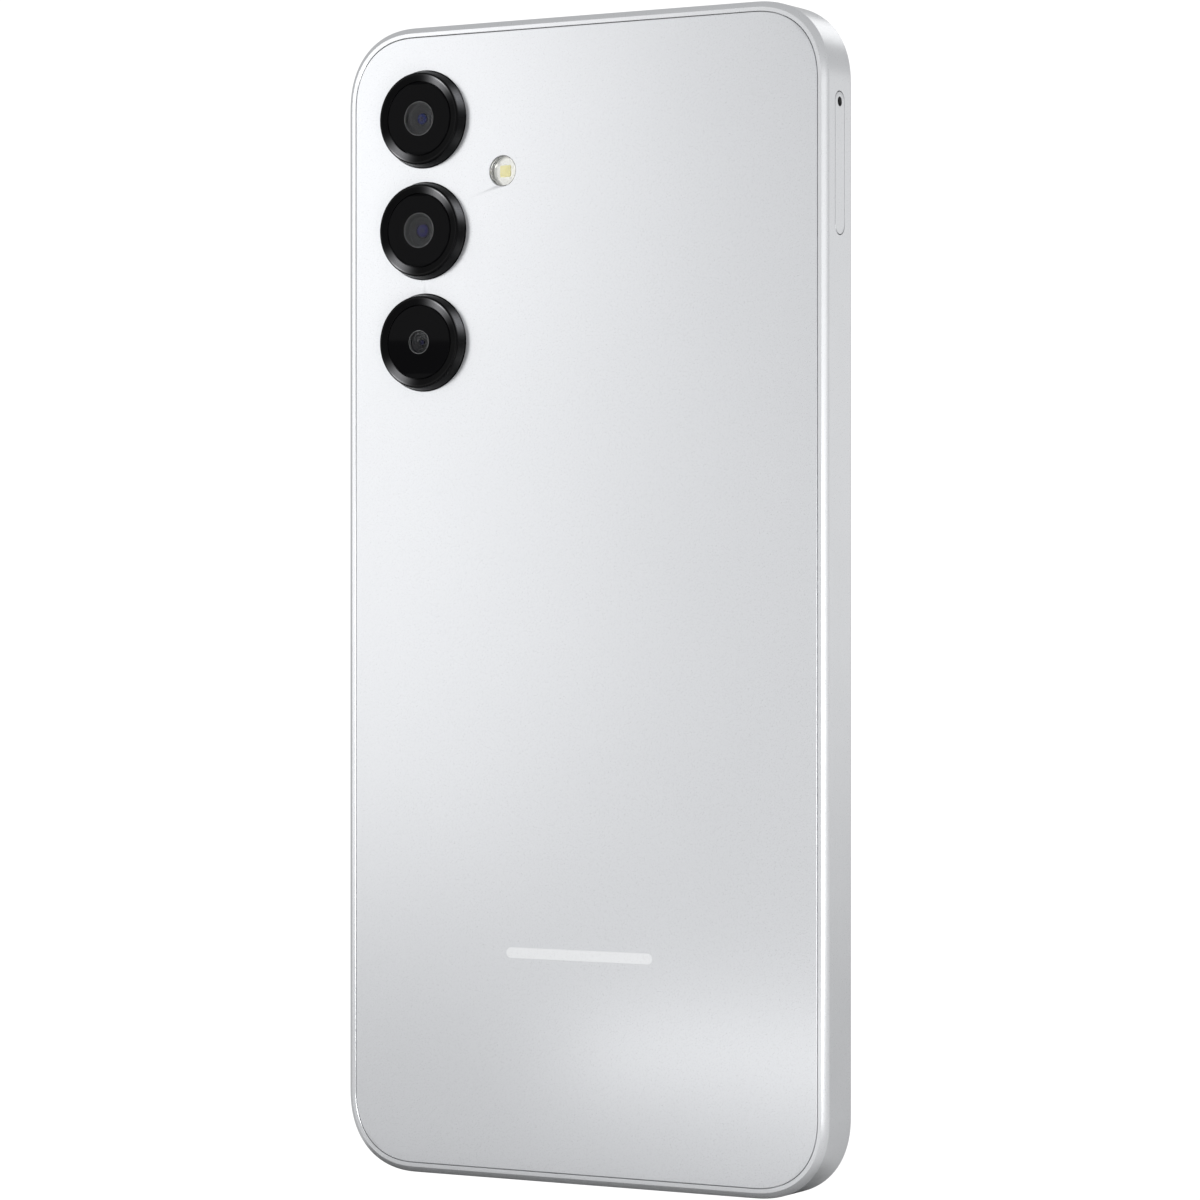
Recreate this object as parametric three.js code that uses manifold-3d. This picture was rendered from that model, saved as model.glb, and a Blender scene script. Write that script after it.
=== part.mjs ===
// A slab smartphone with a 6.7 inch screen, three rear cameras and a side-loading card tray, in millimetres.
// Frame: +Z up along the body, +X to the right as seen from the screen side, -Y the screen side, +Y the rear.
// Origin: middle of the body's bottom edge, half way through its thickness.
import * as THREE from "three";
import { mergeVertices } from "three/addons/utils/BufferGeometryUtils.js";
import Module from "manifold-3d";

const wasm = await Module();
wasm.setup();

// ---------------------------------------------------------------- driving dimensions

const BODY = { width: 77.9, height: 164.4, thickness: 7.9, corner: 11.5, cornerPower: 2.3 };
const HALF_W = BODY.width / 2;
const HALF_T = BODY.thickness / 2;

const EDGE = { chamfer: 0.8, front: 0.8, steps: 3 }; // the side frame's rear chamfer and rounded front edge
const CORNER_STEPS = 7;
const FILM = 0.03; // gap between two stacked layers
const FIT = 0.1; // gap between a piece and the opening it sits in

// Each layer is [nearest the screen, nearest the rear] along Y.
const LAYER = {
  glass: [-HALF_T, -3.4],
  glassTape: [-3.37, -3.23],
  display: [-3.37, -2.6],
  plate: [-2.55, -2.05],
  board: [-1.95, -1.15],
  bracket: [2.05, 2.7],
  coil: [2.74, 2.9],
  rearTape: [2.98, 3.12],
  rear: [3.15, HALF_T],
};
const ON_BOARD = LAYER.board[1] + FILM;

// Insets from the body's outline.
const INSET = { glassPocket: 1.1, rearPocket: 1.4, display: 2.9, displayOpening: 2.75, wall: 3.3, plate: 3.4 };

const CAMERA = { x: 25.74, top: 151.1, pitch: 16.0 };
const CAMERA_Z = [0, 1, 2].map((step) => CAMERA.top - step * CAMERA.pitch);
const RING = { foot: 6.92, rim: 6.5, height: 1.72, flange: 7.6, bore: 4.7, hole: 7.0, sides: 28 };
const WINDOW = { radius: 5.22, low: 1.15, high: 1.55 };
const FLASH = { x: 12.66, z: 143.1, radius: 2.08 };

const FRONT_CAMERA = { x: 0, z: 157.9, barrel: 2.5, body: 6.0 };

// The card tray lies flat behind the screen and slides out through the left side.
const TRAY = { z: 141.95, head: 19.5, headWidth: 2.7, ejectZ: 150.35, ejectRadius: 0.65, depth: 30.65 };
const TRAY_PLATE = { z0: 133.4, z1: 147.6, half: 0.6 };
const SOCKET = { x0: -35.2, x1: -3.4, z0: 132.4, z1: 152.2, sheet: 0.2, top: 1.05 };
const LEVER = { x: -6.0, z: 146.2, pin: 0.45, bore: 0.6, half: 0.45 };

// The keys sit in the right side, over a strip of switches.
const KEY = { proud: 0.4, width: 2.1, flange: 37.1, floor: 36.85, volume: [118, 139], power: [97, 109.6] };
const KEY_POCKET = { z0: 94.5, z1: 142.5, outer: 37.35, half: 1.9 };

const USB = { width: 8.94, height: 3.16, wall: 0.3, mouth: 0.8, rear: 8.3 };
const SPEAKER = { x0: 13.2, slots: 5, first: 14.2, pitch: 2.8, slot: 2.1, slotWidth: 1.1 };
const MIC = { bottomX: -13, topX: -12.5, radius: 0.5 };
const MOTOR = { x: -26.8, z: 12.6, radius: 4.0 };

const SCREW = { head: 1.25, headHeight: 0.33, shank: 0.5, length: 3.2, boss: 1.7, bore: 0.65 };
const UPPER_SCREWS = [[-32.3, 129.6], [-7.4, 157.4], [15.3, 157.3], [14.7, 115.6]];
const LOWER_SCREWS = [[-32.4, 21.9], [9.0, 18.6], [32.3, 22.2]];

// ---------------------------------------------------------------- solids

// A closed geometry as a solid for cutting and joining.
function solidOf(geometry) {
  const bare = geometry.index ? geometry.toNonIndexed() : geometry.clone();
  bare.deleteAttribute("normal");
  bare.deleteAttribute("uv");
  const merged = mergeVertices(bare, 1e-4);
  return new wasm.Manifold(
    new wasm.Mesh({
      numProp: 3,
      vertProperties: merged.attributes.position.array,
      triVerts: new Uint32Array(merged.index.array),
    }),
  );
}

function geometryOf(solid) {
  const mesh = solid.getMesh();
  return new THREE.BufferGeometry()
    .setAttribute("position", new THREE.BufferAttribute(Float32Array.from(mesh.vertProperties), 3))
    .setIndex(new THREE.BufferAttribute(Uint32Array.from(mesh.triVerts), 1));
}

// A shape drawn in (y, z), (x, z) or (x, y), extruded along x, y or z between two values.
const TURN = {
  x: new THREE.Matrix4().set(0, 0, 1, 0, 1, 0, 0, 0, 0, 1, 0, 0, 0, 0, 0, 1),
  y: new THREE.Matrix4().set(1, 0, 0, 0, 0, 0, -1, 0, 0, 1, 0, 0, 0, 0, 0, 1),
  z: new THREE.Matrix4(),
};
function extrude(shape, axis, [from, to], curveSegments = 8) {
  const geometry = new THREE.ExtrudeGeometry(shape, { depth: to - from, bevelEnabled: false, curveSegments });
  geometry.applyMatrix4(TURN[axis]);
  geometry.translate(axis === "x" ? from : 0, axis === "y" ? to : 0, axis === "z" ? from : 0);
  return solidOf(geometry);
}

function rectangle(a0, b0, a1, b1) {
  return polygon([[a0, b0], [a1, b0], [a1, b1], [a0, b1]]);
}

function polygon(points) {
  return new THREE.Shape(points.map(([a, b]) => new THREE.Vector2(a, b)));
}

function circle(radius, a = 0, b = 0) {
  return new THREE.Shape().absarc(a, b, radius, 0, 2 * Math.PI);
}

// A slot with round ends: long along the shape's first or second direction, whichever is larger.
function pill(sizeA, sizeB, a = 0, b = 0) {
  const radius = Math.min(sizeA, sizeB) / 2;
  const reachA = sizeA / 2 - radius;
  const reachB = sizeB / 2 - radius;
  const start = sizeA > sizeB ? -Math.PI / 2 : 0;
  return new THREE.Shape()
    .absarc(a + reachA, b + reachB, radius, start, start + Math.PI)
    .absarc(a - reachA, b - reachB, radius, start + Math.PI, start + 2 * Math.PI);
}

function box(x, y, z) {
  return extrude(rectangle(x[0], z[0], x[1], z[1]), "y", y);
}

function cylinder(radius, axis, span, a, b, sides = 16) {
  return extrude(circle(radius, a, b), axis, span, sides);
}

// A profile of [radius, height] turned about the Y axis.
function turned(profile, sides) {
  const points = [...profile, profile[0]].map(([radius, height]) => new THREE.Vector2(radius, height));
  return solidOf(new THREE.LatheGeometry(points, sides));
}

// The body's outline in (x, z), drawn in by an inset, with corners a little squarer than a circle's.
function outline(inset, steps = CORNER_STEPS) {
  const radius = BODY.corner - inset;
  const middle = BODY.height / 2;
  const reachX = HALF_W - BODY.corner;
  const reachZ = middle - BODY.corner;
  const points = [];
  for (let quarter = 0; quarter < 4; quarter++) {
    for (let step = 0; step <= steps; step++) {
      const angle = ((quarter + step / steps) * Math.PI) / 2;
      const squircle = (v) => Math.sign(v) * Math.abs(v) ** (2 / BODY.cornerPower);
      const sideX = quarter === 0 || quarter === 3 ? 1 : -1;
      const sideZ = quarter < 2 ? 1 : -1;
      points.push([
        sideX * reachX + radius * squircle(Math.cos(angle)),
        middle + sideZ * reachZ + radius * squircle(Math.sin(angle)),
      ]);
    }
  }
  return points;
}

const outlinePlate = (inset, layer) => extrude(polygon(outline(inset)), "y", layer);

// A closed profile of [inset, y], counter-clockwise, carried round the body's outline.
function ringAround(profile) {
  const loops = profile.map(([inset, y]) => outline(inset).map(([x, z]) => [x, y, z]));
  const count = loops[0].length;
  const index = [];
  loops.forEach((_, i) => {
    const next = (i + 1) % loops.length;
    for (let j = 0; j < count; j++) {
      const k = (j + 1) % count;
      const [a, b, c, d] = [i * count + j, i * count + k, next * count + k, next * count + j];
      index.push(a, b, c, a, c, d);
    }
  });
  const geometry = new THREE.BufferGeometry()
    .setAttribute("position", new THREE.Float32BufferAttribute(loops.flat(2), 3))
    .setIndex(index);
  return solidOf(geometry);
}

const flatRing = (outer, inner, [y0, y1]) =>
  ringAround([[outer, y0], [inner, y0], [inner, y1], [outer, y1]]);

// An open-bottomed sheet-metal can that stands on a board.
function can(x, z, height, sheet = 0.2) {
  const shell = box(x, [ON_BOARD, ON_BOARD + height], z);
  const inside = box(
    [x[0] + sheet, x[1] - sheet],
    [ON_BOARD - 1, ON_BOARD + height - sheet],
    [z[0] + sheet, z[1] - sheet],
  );
  return shell.subtract(inside);
}

// A thin strip of constant thickness that follows points in (y, z), spanning a width in x.
function strip(points, thickness, width) {
  const line = points.map(([y, z]) => new THREE.Vector2(y, z));
  const side = (i, sign) => {
    const before = line[Math.max(i - 1, 0)];
    const after = line[Math.min(i + 1, line.length - 1)];
    const along = after.clone().sub(before).normalize();
    return line[i].clone().add(new THREE.Vector2(-along.y, along.x).multiplyScalar((sign * thickness) / 2));
  };
  const there = line.map((_, i) => side(i, -1));
  const back = line.map((_, i) => side(i, 1)).reverse();
  return extrude(new THREE.Shape([...there, ...back]), "x", width);
}

// ---------------------------------------------------------------- materials

function material(color, roughness, metalness = 0, more = {}) {
  return new THREE.MeshStandardMaterial({ color, roughness, metalness, ...more });
}
const MATERIAL = {
  silverFrame: material(0xd3d4d6, 0.35, 0.6),
  rearPanel: material(0xdfe1e3, 0.12, 0.35),
  frontGlass: material(0x08090b, 0.04),
  display: material(0x101114, 0.3),
  cameraMetal: material(0x0b0b0d, 0.25, 0.8),
  cameraGlass: material(0x050608, 0.03),
  lensPlastic: material(0x17171a, 0.4),
  clearPlastic: material(0xf1f0ea, 0.1, 0, { transparent: true, opacity: 0.5 }),
  phosphor: material(0xe8dd8c, 0.6),
  board: material(0x14432f, 0.45),
  steel: material(0xb6b8bb, 0.35, 1),
  blackPlastic: material(0x1c1d1f, 0.6),
  rubber: material(0x2a2a2c, 0.9),
  cellWrap: material(0x2b2d31, 0.5),
  flex: material(0x5a2f14, 0.4),
  copper: material(0xb8743f, 0.35, 1),
  tape: material(0x202022, 0.8),
  tungsten: material(0x77797d, 0.45, 1),
};

function mesh(name, solid, look) {
  const made = new THREE.Mesh(geometryOf(solid), look);
  made.name = name;
  return made;
}

// ---------------------------------------------------------------- casing

// The frame's rounded front edge, from its flat side to its face, as [inset, y].
function frontEdge() {
  return Array.from({ length: EDGE.steps + 1 }, (_, i) => {
    const angle = (i / EDGE.steps) * (Math.PI / 2);
    return [EDGE.front * (1 - Math.cos(angle)), EDGE.front * (1 - Math.sin(angle)) - HALF_T];
  });
}

function sideFrame() {
  const rearLedge = LAYER.rearTape[0] - FILM;
  const frontLedge = LAYER.glassTape[1] + FILM;
  const plateLedge = LAYER.plate[0] - FILM;
  const profile = [
    ...frontEdge(),
    [INSET.glassPocket, -HALF_T],
    [INSET.glassPocket, frontLedge],
    [INSET.displayOpening, frontLedge],
    [INSET.displayOpening, plateLedge],
    [INSET.wall, plateLedge],
    [INSET.wall, rearLedge],
    [INSET.rearPocket, rearLedge],
    [INSET.rearPocket, HALF_T],
    [EDGE.chamfer, HALF_T],
    [0, HALF_T - EDGE.chamfer],
  ];
  const leftWall = [-HALF_W - 1, -HALF_W + INSET.wall + 0.5];
  const keyWindow = ([z0, z1]) =>
    extrude(pill(KEY.width + 0.3, z1 - z0 + 0.3, 0, (z0 + z1) / 2), "x", [KEY_POCKET.outer - 0.1, HALF_W + 1]);
  const bottomWall = [-1, INSET.wall + 0.5];
  const topWall = [BODY.height - INSET.wall - 0.5, BODY.height + 1];
  const cuts = [
    extrude(pill(TRAY.headWidth + 0.2, TRAY.head + 0.2, 0, TRAY.z), "x", leftWall),
    box([HALF_W - INSET.wall - 0.5, KEY_POCKET.outer], [-KEY_POCKET.half, KEY_POCKET.half], [KEY_POCKET.z0, KEY_POCKET.z1]),
    keyWindow(KEY.volume),
    keyWindow(KEY.power),
    extrude(pill(USB.width + 0.3, USB.height + 0.3), "z", bottomWall),
    ...Array.from({ length: SPEAKER.slots }, (_, i) =>
      extrude(pill(SPEAKER.slot, SPEAKER.slotWidth, SPEAKER.first + i * SPEAKER.pitch, 0), "z", bottomWall),
    ),
    cylinder(MIC.radius, "z", bottomWall, MIC.bottomX, 0, 6),
    cylinder(MIC.radius, "z", topWall, MIC.topX, 0, 6),
    box([-6, 6], [-3.3, LAYER.plate[0] - FILM - 0.01], [BODY.height - INSET.wall - 0.5, BODY.height - 1.5]),
  ];
  return mesh("side_frame", cuts.reduce((frame, cut) => frame.subtract(cut), ringAround(profile)), MATERIAL.silverFrame);
}

function midPlate() {
  const boss = ([x, z]) => cylinder(SCREW.boss, "y", [LAYER.plate[1] - 0.2, LAYER.bracket[0] - FILM], x, z, 6);
  const bore = ([x, z]) => cylinder(SCREW.bore, "y", [-1.0, LAYER.bracket[0] + 0.1], x, z, 5);
  const screws = [...UPPER_SCREWS, ...LOWER_SCREWS];
  const openings = [
    cylinder(FRONT_CAMERA.barrel + 0.3, "y", [-3, -1], FRONT_CAMERA.x, FRONT_CAMERA.z, 8),
    box([-13, -1], [-3, -1], [22.6, 25.2]), // display flex passes through
    box([4, 13], [-3, -1], [158.4, 159.8]), // sound path from the earpiece
  ];
  let plate = outlinePlate(INSET.plate, LAYER.plate);
  screws.forEach((at) => (plate = plate.add(boss(at))));
  screws.forEach((at) => (plate = plate.subtract(bore(at))));
  openings.forEach((opening) => (plate = plate.subtract(opening)));
  return mesh("mid_plate", plate, MATERIAL.steel);
}

function rearCover() {
  let panel = outlinePlate(INSET.rearPocket + FIT, LAYER.rear);
  CAMERA_Z.forEach((z) => {
    panel = panel.subtract(cylinder(RING.hole, "y", [3, 5], CAMERA.x, z, RING.sides / 2));
  });
  panel = panel.subtract(cylinder(FLASH.radius + 0.07, "y", [3, 5], FLASH.x, FLASH.z, 12));
  return mesh("rear_cover", panel, MATERIAL.rearPanel);
}

function casing() {
  const group = new THREE.Group();
  group.add(
    sideFrame(),
    midPlate(),
    rearCover(),
    mesh("rear_cover_adhesive", flatRing(1.6, 3.0, LAYER.rearTape), MATERIAL.tape),
  );
  return group;
}

// ---------------------------------------------------------------- screen

function screen() {
  const earNotch = box([-6, 6], [-5, -3], [BODY.height - INSET.glassPocket - 0.55, BODY.height]);
  const glass = outlinePlate(INSET.glassPocket + 0.06, LAYER.glass).subtract(earNotch);
  const cameraHole = cylinder(FRONT_CAMERA.barrel + 0.2, "y", [-4, -2], FRONT_CAMERA.x, FRONT_CAMERA.z, 8);
  const panelOutline = extrude(polygon(outline(INSET.display)), "y", LAYER.display);
  const chin = box([-HALF_W, HALF_W], [-4, -2], [0, 5.2]);
  const flexPath = [[-2.5, 24.6], [-1.2, 24.4], [-0.45, 23.9], [-0.2, 22.6], [-0.2, 17.6]];
  const group = new THREE.Group();
  group.add(
    mesh("cover_glass", glass, MATERIAL.frontGlass),
    mesh("display_adhesive", flatRing(1.3, 2.6, LAYER.glassTape), MATERIAL.tape),
    mesh("display_panel", panelOutline.subtract(cameraHole).subtract(chin), MATERIAL.display),
    mesh("display_flex", strip(flexPath, 0.12, [-12, -2]), MATERIAL.flex),
  );
  return group;
}

// ---------------------------------------------------------------- cameras and light

// Camera pieces are turned about their own optical axis, with height 0 at the rear panel's surface.
function cameraRing() {
  const seat = WINDOW.low - 0.02;
  return turned(
    [
      [RING.bore, -1.13],
      [RING.flange, -1.13],
      [RING.flange, -0.85],
      [RING.foot, -0.85],
      [RING.foot, 0.2],
      [RING.foot - 0.28, RING.height - 0.2],
      [RING.rim, RING.height],
      [RING.rim - 0.25, RING.height],
      [WINDOW.radius + 0.08, WINDOW.high - 0.03],
      [WINDOW.radius + 0.08, seat],
      [RING.bore, seat],
    ],
    RING.sides,
  );
}

function lensBarrel(radius, bottom, top, pupil) {
  return turned(
    [[0, bottom], [radius, bottom], [radius, top - 0.2], [radius - 0.2, top], [pupil + 0.3, top], [pupil, top - 0.6], [0, top - 0.6]],
    24,
  );
}

const MODULE_FLOOR = LAYER.board[0]; // camera modules stand on the mid plate, level with the board
const MODULE = {
  ultrawide: { z: CAMERA_Z[0], side: 8.4, top: 1.9, barrel: 2.9, barrelTop: 4.85, pupil: 1.2 },
  main: { z: CAMERA_Z[1], side: 10.6, top: 2.6, barrel: 3.1, barrelTop: 4.7, pupil: 1.3 },
  macro: { z: CAMERA_Z[2], side: 6.4, top: 1.6, barrel: 2.0, barrelTop: 4.85, pupil: 0.6 },
};
const moduleBlock = ({ side, top }) => box([-side / 2, side / 2], [MODULE_FLOOR, top], [-side / 2, side / 2]);

function fixedCamera(name, spec) {
  const made = mesh(
    name,
    moduleBlock(spec).add(lensBarrel(spec.barrel, spec.top - 0.2, spec.barrelTop, spec.pupil)),
    MATERIAL.lensPlastic,
  );
  made.position.set(CAMERA.x, 0, spec.z);
  return made;
}

// The main camera's barrel slides in its voice-coil housing to focus.
function focusingCamera(spec) {
  const bore = cylinder(spec.barrel + 0.15, "y", [-0.6, spec.top + 1], 0, 0, 12);
  const housing = mesh("main_camera_housing", moduleBlock(spec).subtract(bore), MATERIAL.lensPlastic);
  const lens = mesh("main_camera_lens", lensBarrel(spec.barrel, -0.4, spec.barrelTop, spec.pupil), MATERIAL.lensPlastic);
  [housing, lens].forEach((piece) => piece.position.set(CAMERA.x, 0, spec.z));
  return [housing, lens];
}

function cameraCradle() {
  let cradle = extrude(
    polygon([[18.2, 113.3], [34.9, 113.3], [34.9, 153.0], [29.5, 158.6], [18.2, 158.6]]),
    "y",
    [MODULE_FLOOR, 0.4],
  );
  Object.values(MODULE).forEach(({ z, side }) => {
    const reach = side / 2 + 0.15;
    cradle = cradle.subtract(box([CAMERA.x - reach, CAMERA.x + reach], [-3, 1], [z - reach, z + reach]));
  });
  return mesh("camera_cradle", cradle, MATERIAL.blackPlastic);
}

function frontCamera() {
  const half = FRONT_CAMERA.body / 2;
  const body = box([-half, half], [MODULE_FLOOR, 1.4], [FRONT_CAMERA.z - half, FRONT_CAMERA.z + half]);
  const barrel = cylinder(FRONT_CAMERA.barrel, "y", [-3.3, MODULE_FLOOR + 0.1], 0, FRONT_CAMERA.z, 10);
  return mesh("front_camera", body.add(barrel), MATERIAL.lensPlastic);
}

function cameras() {
  const group = new THREE.Group();
  const ring = cameraRing();
  const window = turned([[0, WINDOW.low], [WINDOW.radius, WINDOW.low], [WINDOW.radius, WINDOW.high], [0, WINDOW.high]], RING.sides);
  ["upper", "middle", "lower"].forEach((place, i) => {
    const pieces = [
      mesh(`camera_ring_${place}`, ring, MATERIAL.cameraMetal),
      mesh(`camera_window_${place}`, window, MATERIAL.cameraGlass),
    ];
    pieces.forEach((piece) => piece.position.set(CAMERA.x, HALF_T, CAMERA_Z[i]));
    group.add(...pieces);
  });
  const lens = [[0, -0.75], [FLASH.radius, -0.75], [FLASH.radius, -0.08], [FLASH.radius - 0.1, 0], [0, 0]];
  const flashWindow = mesh("flash_window", turned(lens, 24), MATERIAL.clearPlastic);
  flashWindow.position.set(FLASH.x, HALF_T - 0.04, FLASH.z);
  const package_ = box([-0.8, 0.8], [0.5, 0.75], [-0.8, 0.8]).add(box([-2.2, 2.2], [0, 0.6], [-2.2, 2.2]));
  const led = mesh("flash_led", package_, MATERIAL.phosphor);
  led.position.set(FLASH.x, 2.27, FLASH.z);
  group.add(
    fixedCamera("ultrawide_camera", MODULE.ultrawide),
    ...focusingCamera(MODULE.main),
    fixedCamera("macro_camera", MODULE.macro),
    cameraCradle(),
    flashWindow,
    led,
    frontCamera(),
  );
  return group;
}

// ---------------------------------------------------------------- main board

function mainBoard() {
  let board = extrude(
    polygon([[-35, 113], [17, 113], [17, 154], [-4.2, 154], [-4.2, 160], [-27, 160], [-35, 151.5]]),
    "y",
    LAYER.board,
  );
  UPPER_SCREWS.forEach(([x, z]) => {
    board = board.subtract(cylinder(SCREW.boss + 0.3, "y", [-3, 0], x, z, 6));
  });
  return mesh("main_board", board, MATERIAL.board);
}

function upperCover() {
  let cover = extrude(
    polygon([[-34.8, 113.3], [17.2, 113.3], [17.2, 160.2], [-27, 160.2], [-34.8, 151.8]]),
    "y",
    LAYER.bracket,
  );
  UPPER_SCREWS.forEach(([x, z]) => {
    cover = cover.subtract(cylinder(SCREW.bore + 0.1, "y", [1, 4], x, z, 5));
  });
  const ledRecess = box([FLASH.x - 2.4, FLASH.x + 2.4], [2.24, 4], [FLASH.z - 2.4, FLASH.z + 2.4]);
  const connectorWindow = box([-21, -7], [1, 4], [113, 117.5]);
  return mesh("upper_cover", cover.subtract(ledRecess).subtract(connectorWindow), MATERIAL.blackPlastic);
}

function nfcCoil() {
  const sheet = extrude(pill(27, 27.01, -14, 134.5), "y", LAYER.coil, 12);
  return mesh("nfc_coil", sheet.subtract(cylinder(8, "y", [2, 4], -14, 134.5, 12)), MATERIAL.copper);
}

function boardAssembly() {
  const group = new THREE.Group();
  group.add(
    mainBoard(),
    mesh("processor_shield", can([-2.4, 16.4], [133.5, 152.5], 1.5), MATERIAL.steel),
    mesh("radio_shield", can([-2.4, 12.2], [118.5, 132.5], 1.4), MATERIAL.steel),
    mesh("power_shield", can([-30, -8], [118.8, 131.4], 1.4), MATERIAL.steel),
    mesh("top_microphone", box([MIC.topX - 1.75, MIC.topX + 1.75], [ON_BOARD, 0], [156.8, 159.5]), MATERIAL.steel),
    mesh("earpiece_speaker", box([3.9, 12.9], [MODULE_FLOOR, 0.9], [155.1, 160.6]), MATERIAL.blackPlastic),
    upperCover(),
    nfcCoil(),
  );
  return group;
}

// ---------------------------------------------------------------- card tray and its eject linkage

function cardTray() {
  const headX = [-HALF_W, -HALF_W + 1.2];
  const collarX = [headX[1] - 0.1, -35.3];
  const plateX = [collarX[1] - 0.1, -HALF_W + TRAY.depth];
  const head = extrude(pill(TRAY.headWidth, TRAY.head, 0, TRAY.z), "x", headX);
  const collar = extrude(pill(1.8, TRAY.head - 0.8, 0, TRAY.z), "x", collarX);
  const plate = box(plateX, [-TRAY_PLATE.half, TRAY_PLATE.half], [TRAY_PLATE.z0, TRAY_PLATE.z1]);
  // Each pocket holds a card on a ledge: a full-size recess from the rear over a smaller opening.
  const pocket = (x, z) => {
    const ledge = 0.6;
    const recess = box(x, [-0.15, 1], z);
    return recess.add(box([x[0] + ledge, x[1] - ledge], [-1, 0], [z[0] + ledge, z[1] - ledge]));
  };
  const simPocket = pocket([-34.4, -25.5], [134.3, 146.7]);
  const cardPocket = pocket([-24.5, -9.4], [135.0, 146.1]);
  const ejectHole = cylinder(TRAY.ejectRadius, "x", [-HALF_W - 1, collarX[1] + 1], 0, TRAY.ejectZ, 8);
  const tray = head.add(collar).add(plate).subtract(simPocket).subtract(cardPocket).subtract(ejectHole);
  return mesh("card_tray", tray, MATERIAL.silverFrame);
}

function cardTraySeal() {
  const x = [-37.2, -36.4];
  const outer = extrude(pill(2.5, TRAY.head - 0.1, 0, TRAY.z), "x", x);
  const inner = extrude(pill(1.9, TRAY.head - 0.7, 0, TRAY.z), "x", [x[0] - 1, x[1] + 1]);
  return mesh("card_tray_seal", outer.subtract(inner), MATERIAL.rubber);
}

function cardSocket() {
  const { x0, x1, z0, z1, sheet, top } = SOCKET;
  const shell = box([x0, x1], [ON_BOARD, top], [z0, z1]);
  const inside = box([x0 - 1, x1 - sheet], [ON_BOARD - 1, top - sheet], [z0 + sheet, z1 - sheet]);
  const leverPin = cylinder(LEVER.pin, "y", [-0.9, top - sheet / 2], LEVER.x, LEVER.z, 5);
  return mesh("card_socket", shell.subtract(inside).add(leverPin), MATERIAL.steel);
}

function cardContacts() {
  const base = box([-33.8, -10], [ON_BOARD, -0.85], [TRAY_PLATE.z0 + 0.2, TRAY_PLATE.z1 - 0.2]);
  const contacts = [];
  for (const x of [-31.5, -28.4, -19.5, -13.5]) {
    for (const z of [137, 140.5, 144]) contacts.push(box([x - 0.9, x + 0.9], [-0.9, -0.7], [z - 0.5, z + 0.5]));
  }
  return mesh("card_contact_block", contacts.reduce((block, contact) => block.add(contact), base), MATERIAL.blackPlastic);
}

function ejectLever() {
  const arms = polygon([
    [LEVER.x - 0.8, LEVER.z - 4.9],
    [LEVER.x + 0.5, LEVER.z - 4.9],
    [LEVER.x + 1.1, LEVER.z],
    [LEVER.x + 0.5, LEVER.z + 4.8],
    [LEVER.x - 0.8, LEVER.z + 4.8],
    [LEVER.x - 1.1, LEVER.z],
  ]);
  const bore = cylinder(LEVER.bore, "y", [-1, 1], LEVER.x, LEVER.z, 6);
  return mesh("eject_lever", extrude(arms, "y", [-LEVER.half, LEVER.half]).subtract(bore), MATERIAL.steel);
}

function cardReader() {
  const rodEnd = LEVER.x - 1.1;
  const group = new THREE.Group();
  group.add(
    cardTray(),
    cardTraySeal(),
    cardSocket(),
    cardContacts(),
    mesh("eject_rod", box([-34.9, rodEnd], [-0.4, 0.4], [TRAY.ejectZ - 0.5, TRAY.ejectZ + 0.5]), MATERIAL.steel),
    ejectLever(),
  );
  return group;
}

// ---------------------------------------------------------------- side keys

function sideKey(name, [z0, z1], flangeReach, nubs) {
  const middle = (z0 + z1) / 2;
  const cap = extrude(pill(KEY.width, z1 - z0, 0, middle), "x", [KEY.flange - 0.1, HALF_W + KEY.proud]);
  const flange = box([KEY.floor, KEY.flange], [-1.55, 1.55], [middle - flangeReach, middle + flangeReach]);
  const pads = nubs.map((offset) => {
    const z = middle + offset;
    return box([KEY.floor - 0.2, KEY.floor + 0.1], [-0.8, 0.8], [z - 0.8, z + 0.8]);
  });
  return mesh(name, pads.reduce((key, pad) => key.add(pad), cap.add(flange)), MATERIAL.silverFrame);
}

function keyFlex() {
  const sheet = box([36.0, 36.15], [-1.7, 1.7], [95.5, 141.5]);
  const volumeMiddle = (KEY.volume[0] + KEY.volume[1]) / 2;
  const domes = [volumeMiddle - 6.5, volumeMiddle + 6.5, (KEY.power[0] + KEY.power[1]) / 2];
  return mesh(
    "key_flex",
    domes.reduce((flex, z) => flex.add(cylinder(1.4, "x", [36.1, 36.33], 0, z, 6)), sheet),
    MATERIAL.flex,
  );
}

function sideKeys() {
  const group = new THREE.Group();
  group.add(
    sideKey("volume_key", KEY.volume, 8, [-6.5, 6.5]),
    sideKey("power_key", KEY.power, 7.2, [0]),
    keyFlex(),
    mesh("key_bracket", box([35.72, 35.94], [-1.75, 1.75], [95, 142]), MATERIAL.steel),
  );
  return group;
}

// ---------------------------------------------------------------- battery and links

function battery() {
  const cell = extrude(rectangle(-33, 26, 30.3, 110.8), "y", [-1.95, 2.7]);
  const edge = 1.0; // the pouch's long edges are folded, so their corners are cut
  const corner = (x, side) =>
    extrude(polygon([[x, 2.8], [x - side * edge, 2.8], [x, 2.7 - edge]]), "z", [25, 112]);
  return mesh("battery", cell.subtract(corner(-33.05, -1)).subtract(corner(30.35, 1)), MATERIAL.cellWrap);
}

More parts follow.
